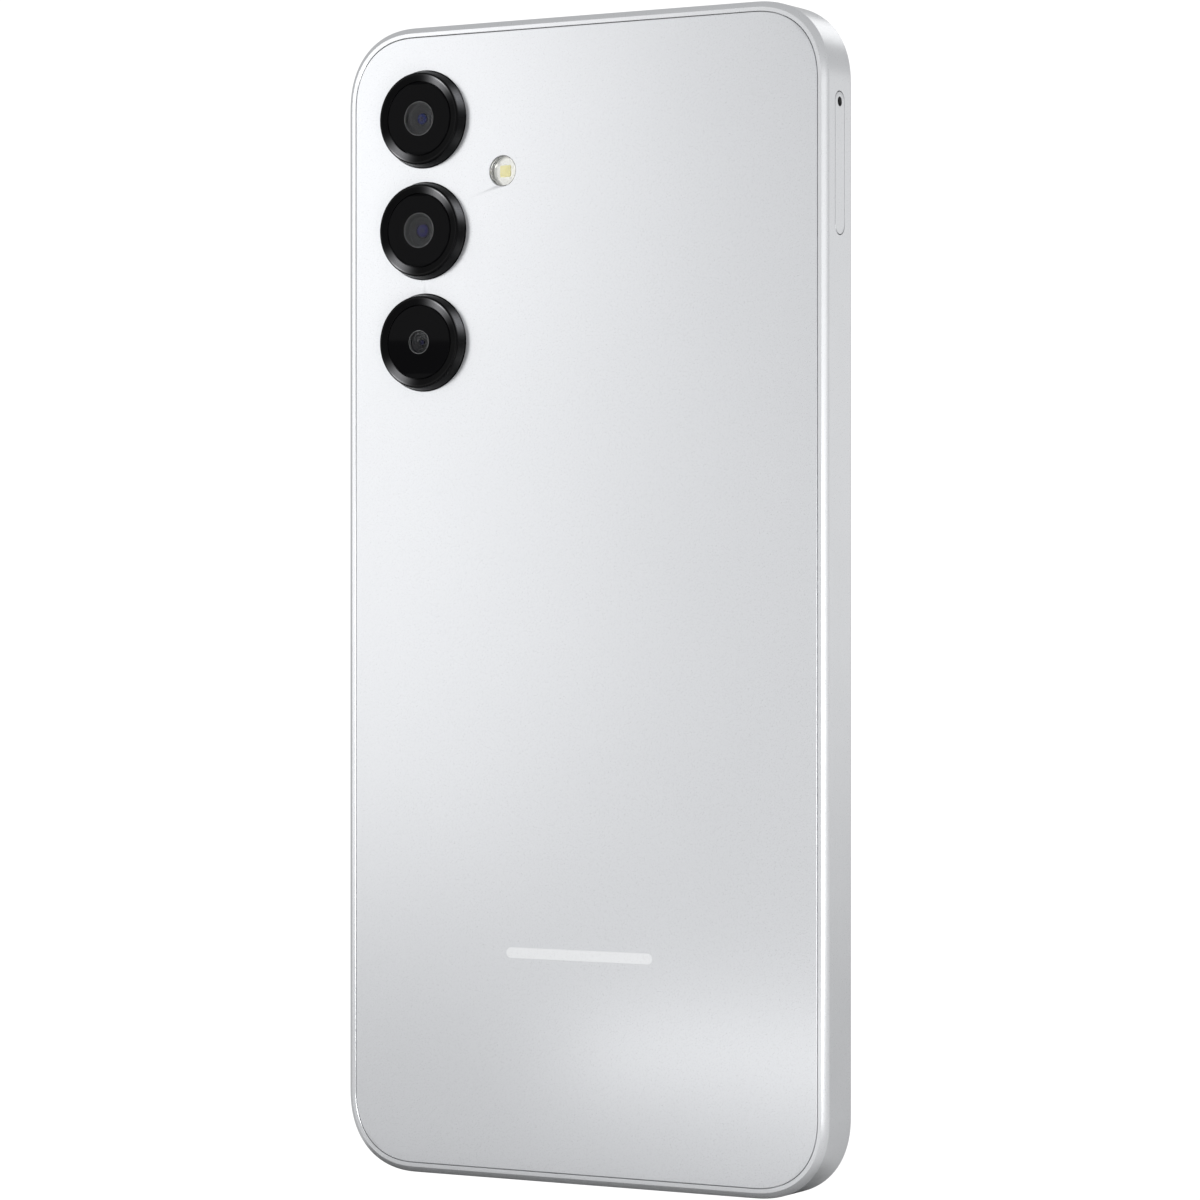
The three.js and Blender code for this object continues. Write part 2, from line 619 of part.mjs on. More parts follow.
function antennaCable() {
  const y = -0.6;
  const radius = 0.36;
  const sides = 6;
  const route = [
    [6.5, 115.6], [9.4, 112.5], [14, 112.05], [29, 112.05], [32.2, 110.6], [32.9, 106],
    [32.9, 70], [32.9, 30], [32.2, 26.2], [29, 25.0], [14, 25.0], [8, 24.4], [5, 22.6], [4.4, 20.4],
  ].map(([x, z]) => new THREE.Vector3(x, y, z));
  const path = new THREE.CatmullRomCurve3(route, false, "centripetal");
  const section = new THREE.Shape(
    Array.from({ length: sides }, (_, i) => {
      const angle = (2 * Math.PI * i) / sides;
      return new THREE.Vector2(radius * Math.cos(angle), radius * Math.sin(angle));
    }),
  );
  const tube = solidOf(new THREE.ExtrudeGeometry(section, { steps: 40, extrudePath: path }));
  const plug = ({ x, z }) => cylinder(1.1, "y", [ON_BOARD, 0.1], x, z, 6);
  return mesh("antenna_cable", tube.add(plug(route[0])).add(plug(route[route.length - 1])), MATERIAL.blackPlastic);
}

function power() {
  const over = LAYER.bracket[1] + 0.13;
  const flexPath = [
    [-0.1, 117.2], [-0.1, 113.4], [0.1, 112.7], [0.7, 112.3], [2.2, 112.1], [2.7, 111.8], [over, 111.2],
    [over, 25.7], [2.7, 25.1], [2.2, 24.8], [0.6, 24.6], [0.1, 24.0], [0, 22.8], [0, 18.4],
  ];
  const group = new THREE.Group();
  group.add(battery(), mesh("interconnect_flex", strip(flexPath, 0.12, [-20, -13.2]), MATERIAL.flex), antennaCable());
  return group;
}

// ---------------------------------------------------------------- lower end

function subBoard() {
  const socketNotch = box([-4.8, 4.8], [-3, 0], [0, 8.6]);
  let board = extrude(rectangle(-20.5, 3.7, 12.4, 22), "y", LAYER.board).subtract(socketNotch);
  const [x, z] = LOWER_SCREWS[1];
  board = board.subtract(cylinder(SCREW.boss + 0.3, "y", [-3, 0], x, z, 6));
  return mesh("sub_board", board, MATERIAL.board);
}

function usbSocket() {
  const { width, height, wall, mouth, rear } = USB;
  const shell = extrude(pill(width, height), "z", [mouth, rear]);
  const inside = extrude(pill(width - 2 * wall, height - 2 * wall), "z", [mouth - 1, rear - wall]);
  const legs = box([-6.2, 6.2], [ON_BOARD, ON_BOARD + 0.3], [5.2, 7.6]);
  return mesh("usb_socket", shell.add(legs).subtract(inside), MATERIAL.steel);
}

function usbTongue() {
  const blade = box([-3.32, 3.32], [-0.35, 0.35], [USB.mouth + 1.0, 7.0]);
  const base = extrude(pill(USB.width - 2 * USB.wall - 0.1, USB.height - 2 * USB.wall - 0.1), "z", [6.4, USB.rear - USB.wall - 0.05]);
  return mesh("usb_tongue", blade.add(base), MATERIAL.blackPlastic);
}

function lowerCover() {
  let cover = extrude(
    polygon([[-34.8, 10.5], [-27.5, 4.0], [27.5, 4.0], [34.8, 10.5], [34.8, 24.2], [-34.8, 24.2]]),
    "y",
    LAYER.bracket,
  );
  LOWER_SCREWS.forEach(([x, z]) => {
    cover = cover.subtract(cylinder(SCREW.bore + 0.1, "y", [1, 4], x, z, 5));
  });
  return mesh("lower_cover", cover, MATERIAL.blackPlastic);
}

// A coin motor: a can over a base with a shaft, on which a half-round weight spins.
function vibrationMotor() {
  const { radius } = MOTOR;
  const can_ = turned(
    [[0, 0.85], [radius, 0.85], [radius, -1.7], [radius - 0.2, -1.7], [radius - 0.2, 0.65], [0, 0.65]].reverse(),
    24,
  );
  const base = turned([[0, -1.93], [radius, -1.93], [radius, -1.75], [0.4, -1.75], [0.4, 0.5], [0, 0.5]], 20);
  const half = new THREE.Shape().absarc(0, 0, radius - 0.5, -Math.PI, 0);
  const weight = extrude(half, "y", [-1.4, 0.3], 12).add(cylinder(1.1, "y", [-1.4, 0.3], 0, 0, 8));
  const pieces = [
    mesh("vibration_motor_case", can_, MATERIAL.steel),
    mesh("vibration_motor_base", base, MATERIAL.steel),
    mesh("vibration_motor_rotor", weight.subtract(cylinder(0.5, "y", [-2, 1], 0, 0, 8)), MATERIAL.tungsten),
  ];
  pieces.forEach((piece) => piece.position.set(MOTOR.x, 0, MOTOR.z));
  return pieces;
}

function loudspeaker() {
  const plan = [[SPEAKER.x0, 3.7], [27, 3.7], [34.6, 11], [34.6, 19.6], [29.7, 19.6], [29.7, 24], [SPEAKER.x0, 24]];
  const body = extrude(polygon(plan), "y", [MODULE_FLOOR, 2.0]);
  const outlet = box([SPEAKER.x0 + 0.6, SPEAKER.x0 + 13], [-0.9, 0.9], [3, 6.5]);
  return mesh("loudspeaker_module", body.subtract(outlet), MATERIAL.blackPlastic);
}

function lowerEnd() {
  const group = new THREE.Group();
  const micZ = [4.1, 6.8];
  group.add(
    subBoard(),
    usbSocket(),
    usbTongue(),
    mesh("bottom_microphone", box([MIC.bottomX - 1.75, MIC.bottomX + 1.75], [ON_BOARD, 0], micZ), MATERIAL.steel),
    loudspeaker(),
    mesh("speaker_mesh", box([SPEAKER.x0, SPEAKER.x0 + 13.4], [-1.2, 1.2], [INSET.wall + 0.08, 3.6]), MATERIAL.steel),
    ...vibrationMotor(),
    lowerCover(),
  );
  return group;
}

// ---------------------------------------------------------------- fasteners

function screws() {
  const { head, headHeight, shank, length } = SCREW;
  const profile = [[0, -length], [shank, -length + 0.3], [shank, 0], [head, 0], [head, headHeight - 0.08], [head - 0.12, headHeight], [0, headHeight]];
  const arm = (long, wide) => box([-long, long], [headHeight - 0.18, headHeight + 1], [-wide, wide]);
  const screw = turned(profile, 10).subtract(arm(0.7, 0.14).add(arm(0.14, 0.7)));
  const group = new THREE.Group();
  [...UPPER_SCREWS, ...LOWER_SCREWS].forEach(([x, z], i) => {
    const made = mesh(`bracket_screw_${i + 1}`, screw, MATERIAL.steel);
    made.position.set(x, LAYER.bracket[1] + 0.02, z);
    group.add(made);
  });
  return group;
}

const smartphone = new THREE.Group();
smartphone.add(casing(), screen(), cameras(), boardAssembly(), cardReader(), sideKeys(), power(), lowerEnd(), screws());

export default smartphone;
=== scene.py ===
"""The smartphone's looks: smooth casing, glass, cameras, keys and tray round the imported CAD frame."""
import math
import random

import bmesh
import bpy
from mathutils import Matrix, Vector


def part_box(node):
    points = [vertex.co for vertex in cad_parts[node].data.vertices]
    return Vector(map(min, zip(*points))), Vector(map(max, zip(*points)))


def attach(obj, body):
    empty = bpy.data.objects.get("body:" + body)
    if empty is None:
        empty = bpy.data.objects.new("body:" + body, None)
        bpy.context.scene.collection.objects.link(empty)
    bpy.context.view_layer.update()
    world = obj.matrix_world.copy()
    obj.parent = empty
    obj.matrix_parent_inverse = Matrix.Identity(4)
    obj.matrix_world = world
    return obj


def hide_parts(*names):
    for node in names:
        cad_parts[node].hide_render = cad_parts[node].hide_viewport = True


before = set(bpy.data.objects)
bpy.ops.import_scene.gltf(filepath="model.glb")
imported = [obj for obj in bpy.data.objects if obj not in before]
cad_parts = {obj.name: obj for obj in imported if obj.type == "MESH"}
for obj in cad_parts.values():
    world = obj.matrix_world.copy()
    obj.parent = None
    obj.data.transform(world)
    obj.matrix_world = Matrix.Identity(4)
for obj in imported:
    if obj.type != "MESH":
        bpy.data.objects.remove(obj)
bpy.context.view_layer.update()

MM = 0.001

# ---------------------------------------------------------------- places, in mm, taken from the frame


def span(node):
    """A CAD node's lowest and highest corners, in mm."""
    low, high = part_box(node)
    return Vector(low) / MM, Vector(high) / MM


def middle(node):
    """The middle of a CAD node's box, in mm."""
    low, high = span(node)
    return (low + high) / 2


_, BODY_HIGH = span("side_frame")
HALF_W = BODY_HIGH.x
HALF_T = BODY_HIGH.y
HEIGHT = BODY_HIGH.z
CORNER = 11.5
CORNER_POWER = 2.3  # 2 would make the corners circular
CORNER_STEPS = 24

# The frame's section, as distances in from its flat side.
REAR_EDGE = (0.84, 0.78)  # its rear chamfer, across the width and along the thickness
FRONT_EDGE = (0.8, 0.8)  # its rounded front edge
REAR_POCKET = 1.4
GLASS_POCKET = 1.1
DISPLAY_LEDGE = 2.75
WALL = 3.3

CAMERAS = {place: middle(f"camera_window_{place}") for place in ("upper", "middle", "lower")}
FLASH = middle("flash_window")
TRAY_LOW, TRAY_HIGH = span("card_tray")
TRAY = middle("card_tray")
TRAY_HEAD = TRAY_HIGH.z - TRAY_LOW.z
TRAY_HEAD_WIDTH = TRAY_HIGH.y - TRAY_LOW.y
PIN_HOLE = Vector((TRAY_LOW.x, 0, middle("eject_rod").z))

TRAY_GAP = 0.22  # the gap round the tray's head, both sides together
TRAY_BED = (133.4, 147.6)  # the bed's lower and upper edges
# Each card's pocket in the tray, as its ends along x and along z.
CARD_POCKETS = (((-34.4, -25.5), (134.3, 146.7)), ((-24.5, -9.4), (135.0, 146.1)))

# Each key's length, how far its flange reaches from its middle, and where its studs are.
KEYS = {"volume_key": (21.0, 8.0, (-6.5, 6.5)), "power_key": (12.6, 7.2, (0,))}
KEY_WIDTH = 2.1
KEY_GAP = 0.26

# Openings in the top and bottom edges.
USB_SHELL = (8.94, 3.16)
USB_WALL = 0.3
MICROPHONE_HOLE = 0.5
SPEAKER_SLOTS = 5
SPEAKER_PITCH = 2.8

# The pale bar on the rear panel: its middle in (x, z), and its length and height.
BADGE = (0.15, 32.25)
BADGE_SIZE = (23.7, 1.5)

# ---------------------------------------------------------------- shapes: a function of an inset, in mm


def outline(start=0.0, steps=CORNER_STEPS):
    """The body's outline drawn in by start, with corners a little squarer than a circle's."""

    def shape(inset=0.0):
        radius = CORNER - start - inset
        points = []
        for quarter in range(4):
            side_x = 1 if quarter in (0, 3) else -1
            side_z = 1 if quarter < 2 else -1
            for step in range(steps + 1):
                angle = (quarter + step / steps) * math.pi / 2
                across, up = (
                    math.copysign(abs(value) ** (2 / CORNER_POWER), value)
                    for value in (math.cos(angle), math.sin(angle))
                )
                points.append((
                    side_x * (HALF_W - CORNER) + radius * across,
                    HEIGHT / 2 + side_z * (HEIGHT / 2 - CORNER) + radius * up,
                ))
        return points

    return shape


def disc(a, b, radius, steps=64):
    """A circle about a, b."""

    def shape(inset=0.0):
        r = radius - inset
        turns = (2 * math.pi * i / steps for i in range(steps))
        return [(a + r * math.cos(t), b + r * math.sin(t)) for t in turns]

    return shape


def rounded_box(a0, b0, a1, b1, corner, steps=6):
    """A rectangle with round corners. With corner at half its smaller side it is a pill."""

    def shape(inset=0.0):
        radius = corner - inset
        points = []
        for quarter, (a, b) in enumerate([(a1, b1), (a0, b1), (a0, b0), (a1, b0)]):
            centre_a = a - math.copysign(corner, a - (a0 + a1) / 2)
            centre_b = b - math.copysign(corner, b - (b0 + b1) / 2)
            for step in range(steps + 1):
                angle = (quarter + step / steps) * math.pi / 2
                points.append((centre_a + radius * math.cos(angle), centre_b + radius * math.sin(angle)))
        return points

    return shape


def pill(a, b, size_a, size_b, steps=12):
    """A rectangle about a, b whose short sides are half-rounds."""
    corner = min(size_a, size_b) / 2 - 0.001
    return rounded_box(a - size_a / 2, b - size_b / 2, a + size_a / 2, b + size_b / 2, corner, steps)


def widen(shape):
    """The same shape as a hole: it grows where a solid's outline would shrink."""
    return lambda inset=0.0: shape(-inset)


# ---------------------------------------------------------------- meshes

PLACE = {
    "x": lambda a, b, depth: (depth, a, b),
    "y": lambda a, b, depth: (a, depth, b),
    "z": lambda a, b, depth: (a, b, depth),
}


def loft(rows, outer, holes=(), axis="y"):
    """Carries a shape and the holes in it through rows of (inset, depth), and closes both ends."""
    bm = bmesh.new()
    ends = ([], [])
    for shape in (outer, *(widen(hole) for hole in holes)):
        loops = [[bm.verts.new(PLACE[axis](a, b, depth)) for a, b in shape(inset)] for inset, depth in rows]
        count = len(loops[0])
        for one, other in zip(loops, loops[1:]):
            for i in range(count):
                k = (i + 1) % count
                bm.faces.new((one[i], one[k], other[k], other[i]))
        for end, loop in zip(ends, (loops[0], loops[-1])):
            end.extend(bm.edges.get((loop[i], loop[(i + 1) % count])) for i in range(count))
    for edges in ends:
        bmesh.ops.triangle_fill(bm, use_beauty=True, edges=edges)
    bmesh.ops.recalc_face_normals(bm, faces=bm.faces)
    return bm


def soft_rows(low, high, radius, steps=3):
    """Rows for a plate from low to high whose rims are rounded."""
    arc = [step / steps * math.pi / 2 for step in range(steps + 1)]
    start = [(radius * (1 - math.sin(t)), low + radius * (1 - math.cos(t))) for t in arc]
    return start + [(inset, low + high - depth) for inset, depth in reversed(start)]


def plate(low, high, outer, holes=(), axis="y", rim=0.08, steps=3):
    """A shape carried from low to high along an axis, with rounded rims."""
    return loft(soft_rows(low, high, rim, steps), outer, holes, axis)


def ring_round_body(profile):
    """A closed profile of (inset, y) carried round the body's outline."""
    bm = bmesh.new()
    loops = [[bm.verts.new((x, y, z)) for x, z in outline(inset)()] for inset, y in profile]
    count = len(loops[0])
    for one, other in zip(loops, loops[1:] + loops[:1]):
        for i in range(count):
            k = (i + 1) % count
            bm.faces.new((one[i], one[k], other[k], other[i]))
    bmesh.ops.recalc_face_normals(bm, faces=bm.faces)
    return bm


def softened(corners, steps=4):
    """A profile of (radius, height, fillet) corners as points, each corner rounded by its fillet."""
    flat = [Vector(corner[:2]) for corner in corners]
    points = []
    for i, (*_, fillet) in enumerate(corners):
        here = flat[i]
        if fillet == 0:
            points.append(here)
            continue
        start = here + (flat[i - 1] - here).normalized() * fillet
        end = here + (flat[(i + 1) % len(flat)] - here).normalized() * fillet
        for step in range(steps + 1):
            t = step / steps
            points.append(start * (1 - t) ** 2 + here * 2 * t * (1 - t) + end * t * t)
    return points


def turned(profile, x, z, sides=96):
    """A profile of (radius, y) points turned about the line along Y through x, z."""
    bm = bmesh.new()
    columns = []
    for radius, y in profile:
        if radius < 1e-4:
            columns.append([bm.verts.new((x, y, z))] * sides)
            continue
        turns = (2 * math.pi * i / sides for i in range(sides))
        columns.append([bm.verts.new((x + radius * math.cos(t), y, z + radius * math.sin(t))) for t in turns])
    for one, other in zip(columns, columns[1:] + columns[:1]):
        for i in range(sides):
            k = (i + 1) % sides
            corners = list(dict.fromkeys((one[i], one[k], other[k], other[i])))
            if len(corners) > 2:
                bm.faces.new(corners)
    bmesh.ops.recalc_face_normals(bm, faces=bm.faces)
    return bm


def block(x, y, z, rim=0.1):
    """A box with rounded edges."""
    bm = bmesh.new()
    corners = [bm.verts.new((a, b, c)) for a in x for b in y for c in z]
    bmesh.ops.convex_hull(bm, input=corners)
    bmesh.ops.dissolve_limit(bm, angle_limit=0.01, verts=bm.verts, edges=bm.edges)
    bmesh.ops.bevel(bm, geom=bm.edges[:], offset=rim, segments=2, affect="EDGES", profile=0.5)
    bmesh.ops.recalc_face_normals(bm, faces=bm.faces)
    return bm


def joined(*parts):
    """Several closed shapes as one mesh."""
    bm = bmesh.new()
    for part in parts:
        mesh = bpy.data.meshes.new("part")
        part.to_mesh(mesh)
        part.free()
        bm.from_mesh(mesh)
        bpy.data.meshes.remove(mesh)
    return bm


def as_object(bm, name):
    """Turns a mesh in mm into an object in metres."""
    bm.transform(Matrix.Scale(MM, 4))
    mesh = bpy.data.meshes.new(name)
    bm.to_mesh(mesh)
    bm.free()
    made = bpy.data.objects.new(name, mesh)
    bpy.context.scene.collection.objects.link(made)
    return made


def combine(made, tools, operation="DIFFERENCE"):
    """Cuts or joins an object with meshes that are used up in doing so."""
    cutter = as_object(joined(*tools), "cutter")
    modifier = made.modifiers.new("cut", "BOOLEAN")
    modifier.operation = operation
    modifier.solver = "EXACT"
    modifier.use_self = True
    modifier.object = cutter
    graph = bpy.context.evaluated_depsgraph_get()
    result = bpy.data.meshes.new_from_object(made.evaluated_get(graph))
    made.modifiers.clear()
    made.data = result
    bpy.data.objects.remove(cutter)


def united(first, *others):
    """Closed shapes that overlap, merged into one."""
    made = as_object(first, "united")
    for other in others:
        combine(made, [other], "UNION")
    bm = bmesh.new()
    bm.from_mesh(made.data)
    bm.transform(Matrix.Scale(1 / MM, 4))
    bpy.data.objects.remove(made)
    return bm


def piece(name, bm, material, replaces=(), body="root", cuts=(), sharp=35):
    """A finished piece: cut, shaded smooth between its sharp edges, and placed on its body."""
    made = as_object(bm, name)
    if cuts:
        combine(made, cuts)
    made.data.polygons.foreach_set("use_smooth", [True] * len(made.data.polygons))
    made.data.set_sharp_from_angle(angle=math.radians(sharp))
    normals = made.modifiers.new("normals", "WEIGHTED_NORMAL")
    normals.keep_sharp = True
    normals.weight = 100
    made.data.materials.clear()
    made.data.materials.append(material)
    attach(made, body)
    if replaces:
        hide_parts(*replaces)
    return made


# ---------------------------------------------------------------- material tools


def shader(name, **sockets):
    """A material whose Principled shader has these values on its sockets."""
    made = bpy.data.materials.new(name)
    made.use_nodes = True
    principled = made.node_tree.nodes["Principled BSDF"]
    for socket, value in sockets.items():
        principled.inputs[socket.replace("_", " ")].default_value = value
    return made


def feed(material, socket, output):
    """Links a node's output to a socket of the material's shader."""
    principled = material.node_tree.nodes["Principled BSDF"]
    material.node_tree.links.new(output, principled.inputs[socket])


def node(tree, kind, settings=None, **inputs):
    """A node with settings, and inputs i0, i1 ... by place, each a value or another node's output."""
    made = tree.nodes.new(f"ShaderNode{kind}")
    for key, value in (settings or {}).items():
        setattr(made, key, value)
    for key, value in inputs.items():
        socket = made.inputs[int(key[1:])]
        if isinstance(value, bpy.types.NodeSocket):
            tree.links.new(value, socket)
        else:
            socket.default_value = value
    return made


def math_node(tree, operation, a, b=0.0):
    """The result of one operation on a and b."""
    return node(tree, "Math", {"operation": operation}, i0=a, i1=b).outputs[0]


def position(tree):
    """The place on the object, in metres."""
    return node(tree, "TexCoord").outputs["Object"]


def noise(tree, size, detail=2.0, stretch=(1, 1, 1)):
    """Noise whose features are about size mm across."""
    place = node(tree, "Mapping", None, i0=position(tree), i3=stretch).outputs[0]
    made = node(tree, "TexNoise")
    tree.links.new(place, made.inputs["Vector"])
    made.inputs["Scale"].default_value = 1 / (size * MM)
    made.inputs["Detail"].default_value = detail
    return made.outputs["Fac"]


def between(tree, factor, low, high, start=0.3, end=0.7):
    """A factor from start to end, as a value from low to high."""
    return node(tree, "MapRange", None, i0=factor, i1=start, i2=end, i3=low, i4=high).outputs[0]


def colours(tree, factor, first, second):
    """A mix of two colours, each of which may be another node's output."""
    mixed = node(tree, "Mix", {"data_type": "RGBA"})
    tree.links.new(factor, mixed.inputs[0])
    for socket, value in ((mixed.inputs[6], first), (mixed.inputs[7], second)):
        if isinstance(value, bpy.types.NodeSocket):
            tree.links.new(value, socket)
        else:
            socket.default_value = (*value, 1)
    return mixed.outputs[2]


def bump(tree, height, depth, strength=1.0, normal=None):
    """A bump whose full height is depth mm."""
    made = node(tree, "Bump")
    made.inputs["Strength"].default_value = strength
    made.inputs["Distance"].default_value = depth * MM
    tree.links.new(height, made.inputs["Height"])
    if normal:
        tree.links.new(normal, made.inputs["Normal"])
    return made.outputs[0]


def off_box(tree, centre, half=(0, 0), axes=("X", "Z")):
    """Distance in mm from a rectangle about centre, measured in the plane of two axes."""
    parts = node(tree, "SeparateXYZ", None, i0=position(tree))
    beyond = []
    for axis, at, reach in zip(axes, centre, half):
        offset = math_node(tree, "SUBTRACT", parts.outputs[axis], at * MM)
        away = math_node(tree, "SUBTRACT", math_node(tree, "ABSOLUTE", offset), reach * MM)
        beyond.append(math_node(tree, "MAXIMUM", away, 0.0))
    together = node(tree, "CombineXYZ", None, i0=beyond[0], i1=beyond[1]).outputs[0]
    length = node(tree, "VectorMath", {"operation": "LENGTH"}, i0=together).outputs["Value"]
    return math_node(tree, "DIVIDE", length, MM)


def grained(name, dark, light, rough, grain, blotch=6.0, depth=0.002, stretch=(1, 1, 1), **sockets):
    """A surface with blotches of two near colours, a range of roughness and a fine grain."""
    made = shader(name, **sockets)
    tree = made.node_tree
    feed(made, "Base Color", colours(tree, between(tree, noise(tree, blotch, 3), 0, 1), dark, light))
    fine = noise(tree, grain, 3, stretch)
    feed(made, "Roughness", between(tree, fine, *rough))
    feed(made, "Normal", bump(tree, fine, depth))
    return made


# ---------------------------------------------------------------- materials


def frame_metal():
    """Satin silver lacquer over metal."""
    return grained(
        "satin_silver", (0.79, 0.80, 0.815), (0.81, 0.82, 0.835), (0.27, 0.32), grain=0.12, blotch=9,
        depth=0.0005, Metallic=0.75, Coat_Weight=0.2, Coat_Roughness=0.2,
    )


def rear_silver():
    """Silver flake under clear gloss, with a plain pale bar printed low down."""
    made = shader("rear_silver", Metallic=0.65, Coat_Weight=1.0, Coat_Roughness=0.22, Coat_IOR=1.5)
    tree = made.node_tree
    flake = noise(tree, 0.07, 2)
    cloud = noise(tree, 22, 2)
    tone = colours(tree, between(tree, cloud, 0, 1), (0.745, 0.757, 0.775), (0.755, 0.767, 0.785))
    silver = colours(tree, between(tree, flake, 0, 0.35), tone, (0.80, 0.81, 0.83))
    bar = off_box(tree, BADGE, (BADGE_SIZE[0] / 2 - BADGE_SIZE[1] / 2, 0))
    printed = between(tree, bar, 1, 0, BADGE_SIZE[1] / 2 - 0.03, BADGE_SIZE[1] / 2 + 0.03)
    feed(made, "Base Color", colours(tree, printed, silver, (0.93, 0.94, 0.95)))
    feed(made, "Roughness", between(tree, flake, 0.27, 0.32))
    peel = noise(tree, 2.5, 1)
    feed(made, "Coat Normal", bump(tree, peel, 0.0004))
    return made


def toward(tree, centre, direction, tightness, both_ways=False):
    """1 where the way from centre points along direction in (x, z), falling off to either side."""
    place = node(tree, "SeparateXYZ", None, i0=position(tree))
    x = math_node(tree, "SUBTRACT", place.outputs["X"], centre[0] * MM)
    z = math_node(tree, "SUBTRACT", place.outputs["Z"], centre[1] * MM)
    way = node(tree, "CombineXYZ", None, i0=x, i1=z).outputs[0]
    unit = node(tree, "VectorMath", {"operation": "NORMALIZE"}, i0=way).outputs["Vector"]
    dot = node(tree, "VectorMath", {"operation": "DOT_PRODUCT"}, i0=unit, i1=(*direction, 0))
    cosine = math_node(tree, "ABSOLUTE" if both_ways else "MAXIMUM", dot.outputs["Value"])
    return math_node(tree, "POWER", cosine, tightness)


# A camera ring's bevel and wall, as radii in mm, and the ways in (x, z) along which each has a painted
# highlight.
BEVEL_EDGE = (6.3, 6.42)
WALL_EDGE = (6.55, 6.65)
BEVEL_PAINTED_HIGHLIGHT = (-0.58, 0.815)
WALL_PAINTED_HIGHLIGHT = (-0.91, 0.41)


def black_with_painted_highlights(name, centre):
    """Black turned metal with painted highlights: a pair of pale painted highlights across its bevel, and one
    on its wall.
    """
    made = shader(name, Specular_IOR_Level=0.08)
    tree = made.node_tree
    spun = noise(tree, 0.09, 2)
    away = off_box(tree, centre)
    on_bevel = between(tree, away, 1, 0, *BEVEL_EDGE)
    on_wall = between(tree, away, 0, 1, *WALL_EDGE)
    # painted highlights, fixed in place: a pair across the bevel and one on the wall, pale grey and metallic
    # where they fall
    bevel = math_node(tree, "MULTIPLY", toward(tree, centre, BEVEL_PAINTED_HIGHLIGHT, 24, both_ways=True), on_bevel)
    wall = math_node(tree, "MULTIPLY", toward(tree, centre, WALL_PAINTED_HIGHLIGHT, 50), on_wall)
    painted_highlight = math_node(tree, "ADD", bevel, wall)
    black = colours(tree, spun, (0.0015, 0.0015, 0.0017), (0.003, 0.003, 0.0034))
    feed(made, "Base Color", colours(tree, painted_highlight, black, (0.34, 0.34, 0.35)))
    feed(made, "Metallic", painted_highlight)
    feed(made, "Roughness", between(tree, spun, 0.2, 0.28))
    return made


def printed_glass(name, centre, clear_radius):
    """Black-backed glass that is clear inside a round opening in its print."""
    made = shader(name, IOR=1.15, Specular_IOR_Level=0.2)
    tree = made.node_tree
    away = off_box(tree, centre)
    clear = between(tree, away, 1, 0, clear_radius - 0.04, clear_radius + 0.04)
    haze = noise(tree, 5, 3)
    feed(made, "Base Color", colours(tree, clear, (0.0035, 0.0035, 0.004), (0.96, 0.97, 0.98)))
    feed(made, "Transmission Weight", clear)
    feed(made, "Roughness", between(tree, haze, 0.012, 0.03))
    return made


def screen_glass():
    """Cover glass with a black border, a dark display behind it and a clear dot for the front camera."""
    made = shader("screen_glass", IOR=1.5, Specular_IOR_Level=0.4)
    tree = made.node_tree
    low, high = span("display_panel")
    centre = ((low.x + high.x) / 2, (low.z + high.z) / 2)
    corner = CORNER - 3.2
    border = 0.9  # the display panel's own black edge
    half = ((high.x - low.x) / 2 - border - corner, (high.z - low.z) / 2 - border - corner)
    lit = between(tree, off_box(tree, centre, half), 1, 0, corner - 0.05, corner + 0.05)
    eye = middle("front_camera")
    clear = between(tree, off_box(tree, (eye.x, eye.z)), 1, 0, 1.45, 1.5)
    surround = between(tree, off_box(tree, (eye.x, eye.z)), 0, 1, 2.1, 2.2)
    screen = math_node(tree, "MULTIPLY", lit, surround)
    smear = noise(tree, 14, 4, (1, 1, 0.4))
    dark = colours(tree, screen, (0.002, 0.002, 0.0022), (0.0085, 0.009, 0.011))
    feed(made, "Base Color", colours(tree, clear, dark, (0.95, 0.96, 0.97)))
    feed(made, "Transmission Weight", clear)
    feed(made, "Roughness", between(tree, smear, 0.015, 0.05))
    return made


def lens_painted_reflection(name, centre, radius, reflection_hue):
    """A coated lens: nearly black, with painted reflections in coloured rings."""
    made = shader(name, Roughness=0.04, IOR=1.5, Specular_IOR_Level=0.25, Specular_Tint=(0.6, 0.62, 1, 1))
    tree = made.node_tree
    away = math_node(tree, "DIVIDE", off_box(tree, centre), radius)
    # painted reflection: coloured rings, brightest at about half the radius, over a near-black lens
    rings = node(tree, "ValToRGB", None, i0=away)
    ramp = rings.color_ramp
    ramp.elements[0].position = 0.0
    ramp.elements[0].color = (*(0.35 * part for part in reflection_hue), 1)
    ramp.elements[1].position = 1.0
    ramp.elements[1].color = (0.004, 0.004, 0.006, 1)
    for place, share in ((0.3, 0.12), (0.55, 1.0), (0.72, 0.45), (0.86, 0.06)):
        ramp.elements.new(place).color = (*(share * part for part in reflection_hue), 1)
    feed(made, "Base Color", rings.outputs[0])
    return made


def flash_cover():
    """Clear plastic with the fine concentric steps of a flat lens."""
    made = shader("flash_cover", IOR=1.4, Transmission_Weight=1.0)
    tree = made.node_tree
    away = math_node(tree, "MULTIPLY", off_box(tree, (FLASH.x, FLASH.z)), 16)
    rings = math_node(tree, "SINE", away)
    feed(made, "Base Color", colours(tree, noise(tree, 0.8, 2), (0.97, 0.97, 0.95), (1.0, 1.0, 0.98)))
    feed(made, "Roughness", between(tree, noise(tree, 0.3, 2), 0.05, 0.1))
    feed(made, "Normal", bump(tree, rings, 0.006))
    return made


def phosphor():
    """The LED's yellow emitter, with a painted glow: it gives off a little light of its own though the flash
    is off.
    """
    made = shader("led_phosphor_painted_glow", Roughness=0.6, Emission_Color=(0.9, 0.84, 0.42, 1), Emission_Strength=0.4)
    tree = made.node_tree
    grain = noise(tree, 0.1, 3)
    feed(made, "Base Color", colours(tree, grain, (0.88, 0.80, 0.38), (0.93, 0.87, 0.52)))
    feed(made, "Normal", bump(tree, grain, 0.01))
    return made


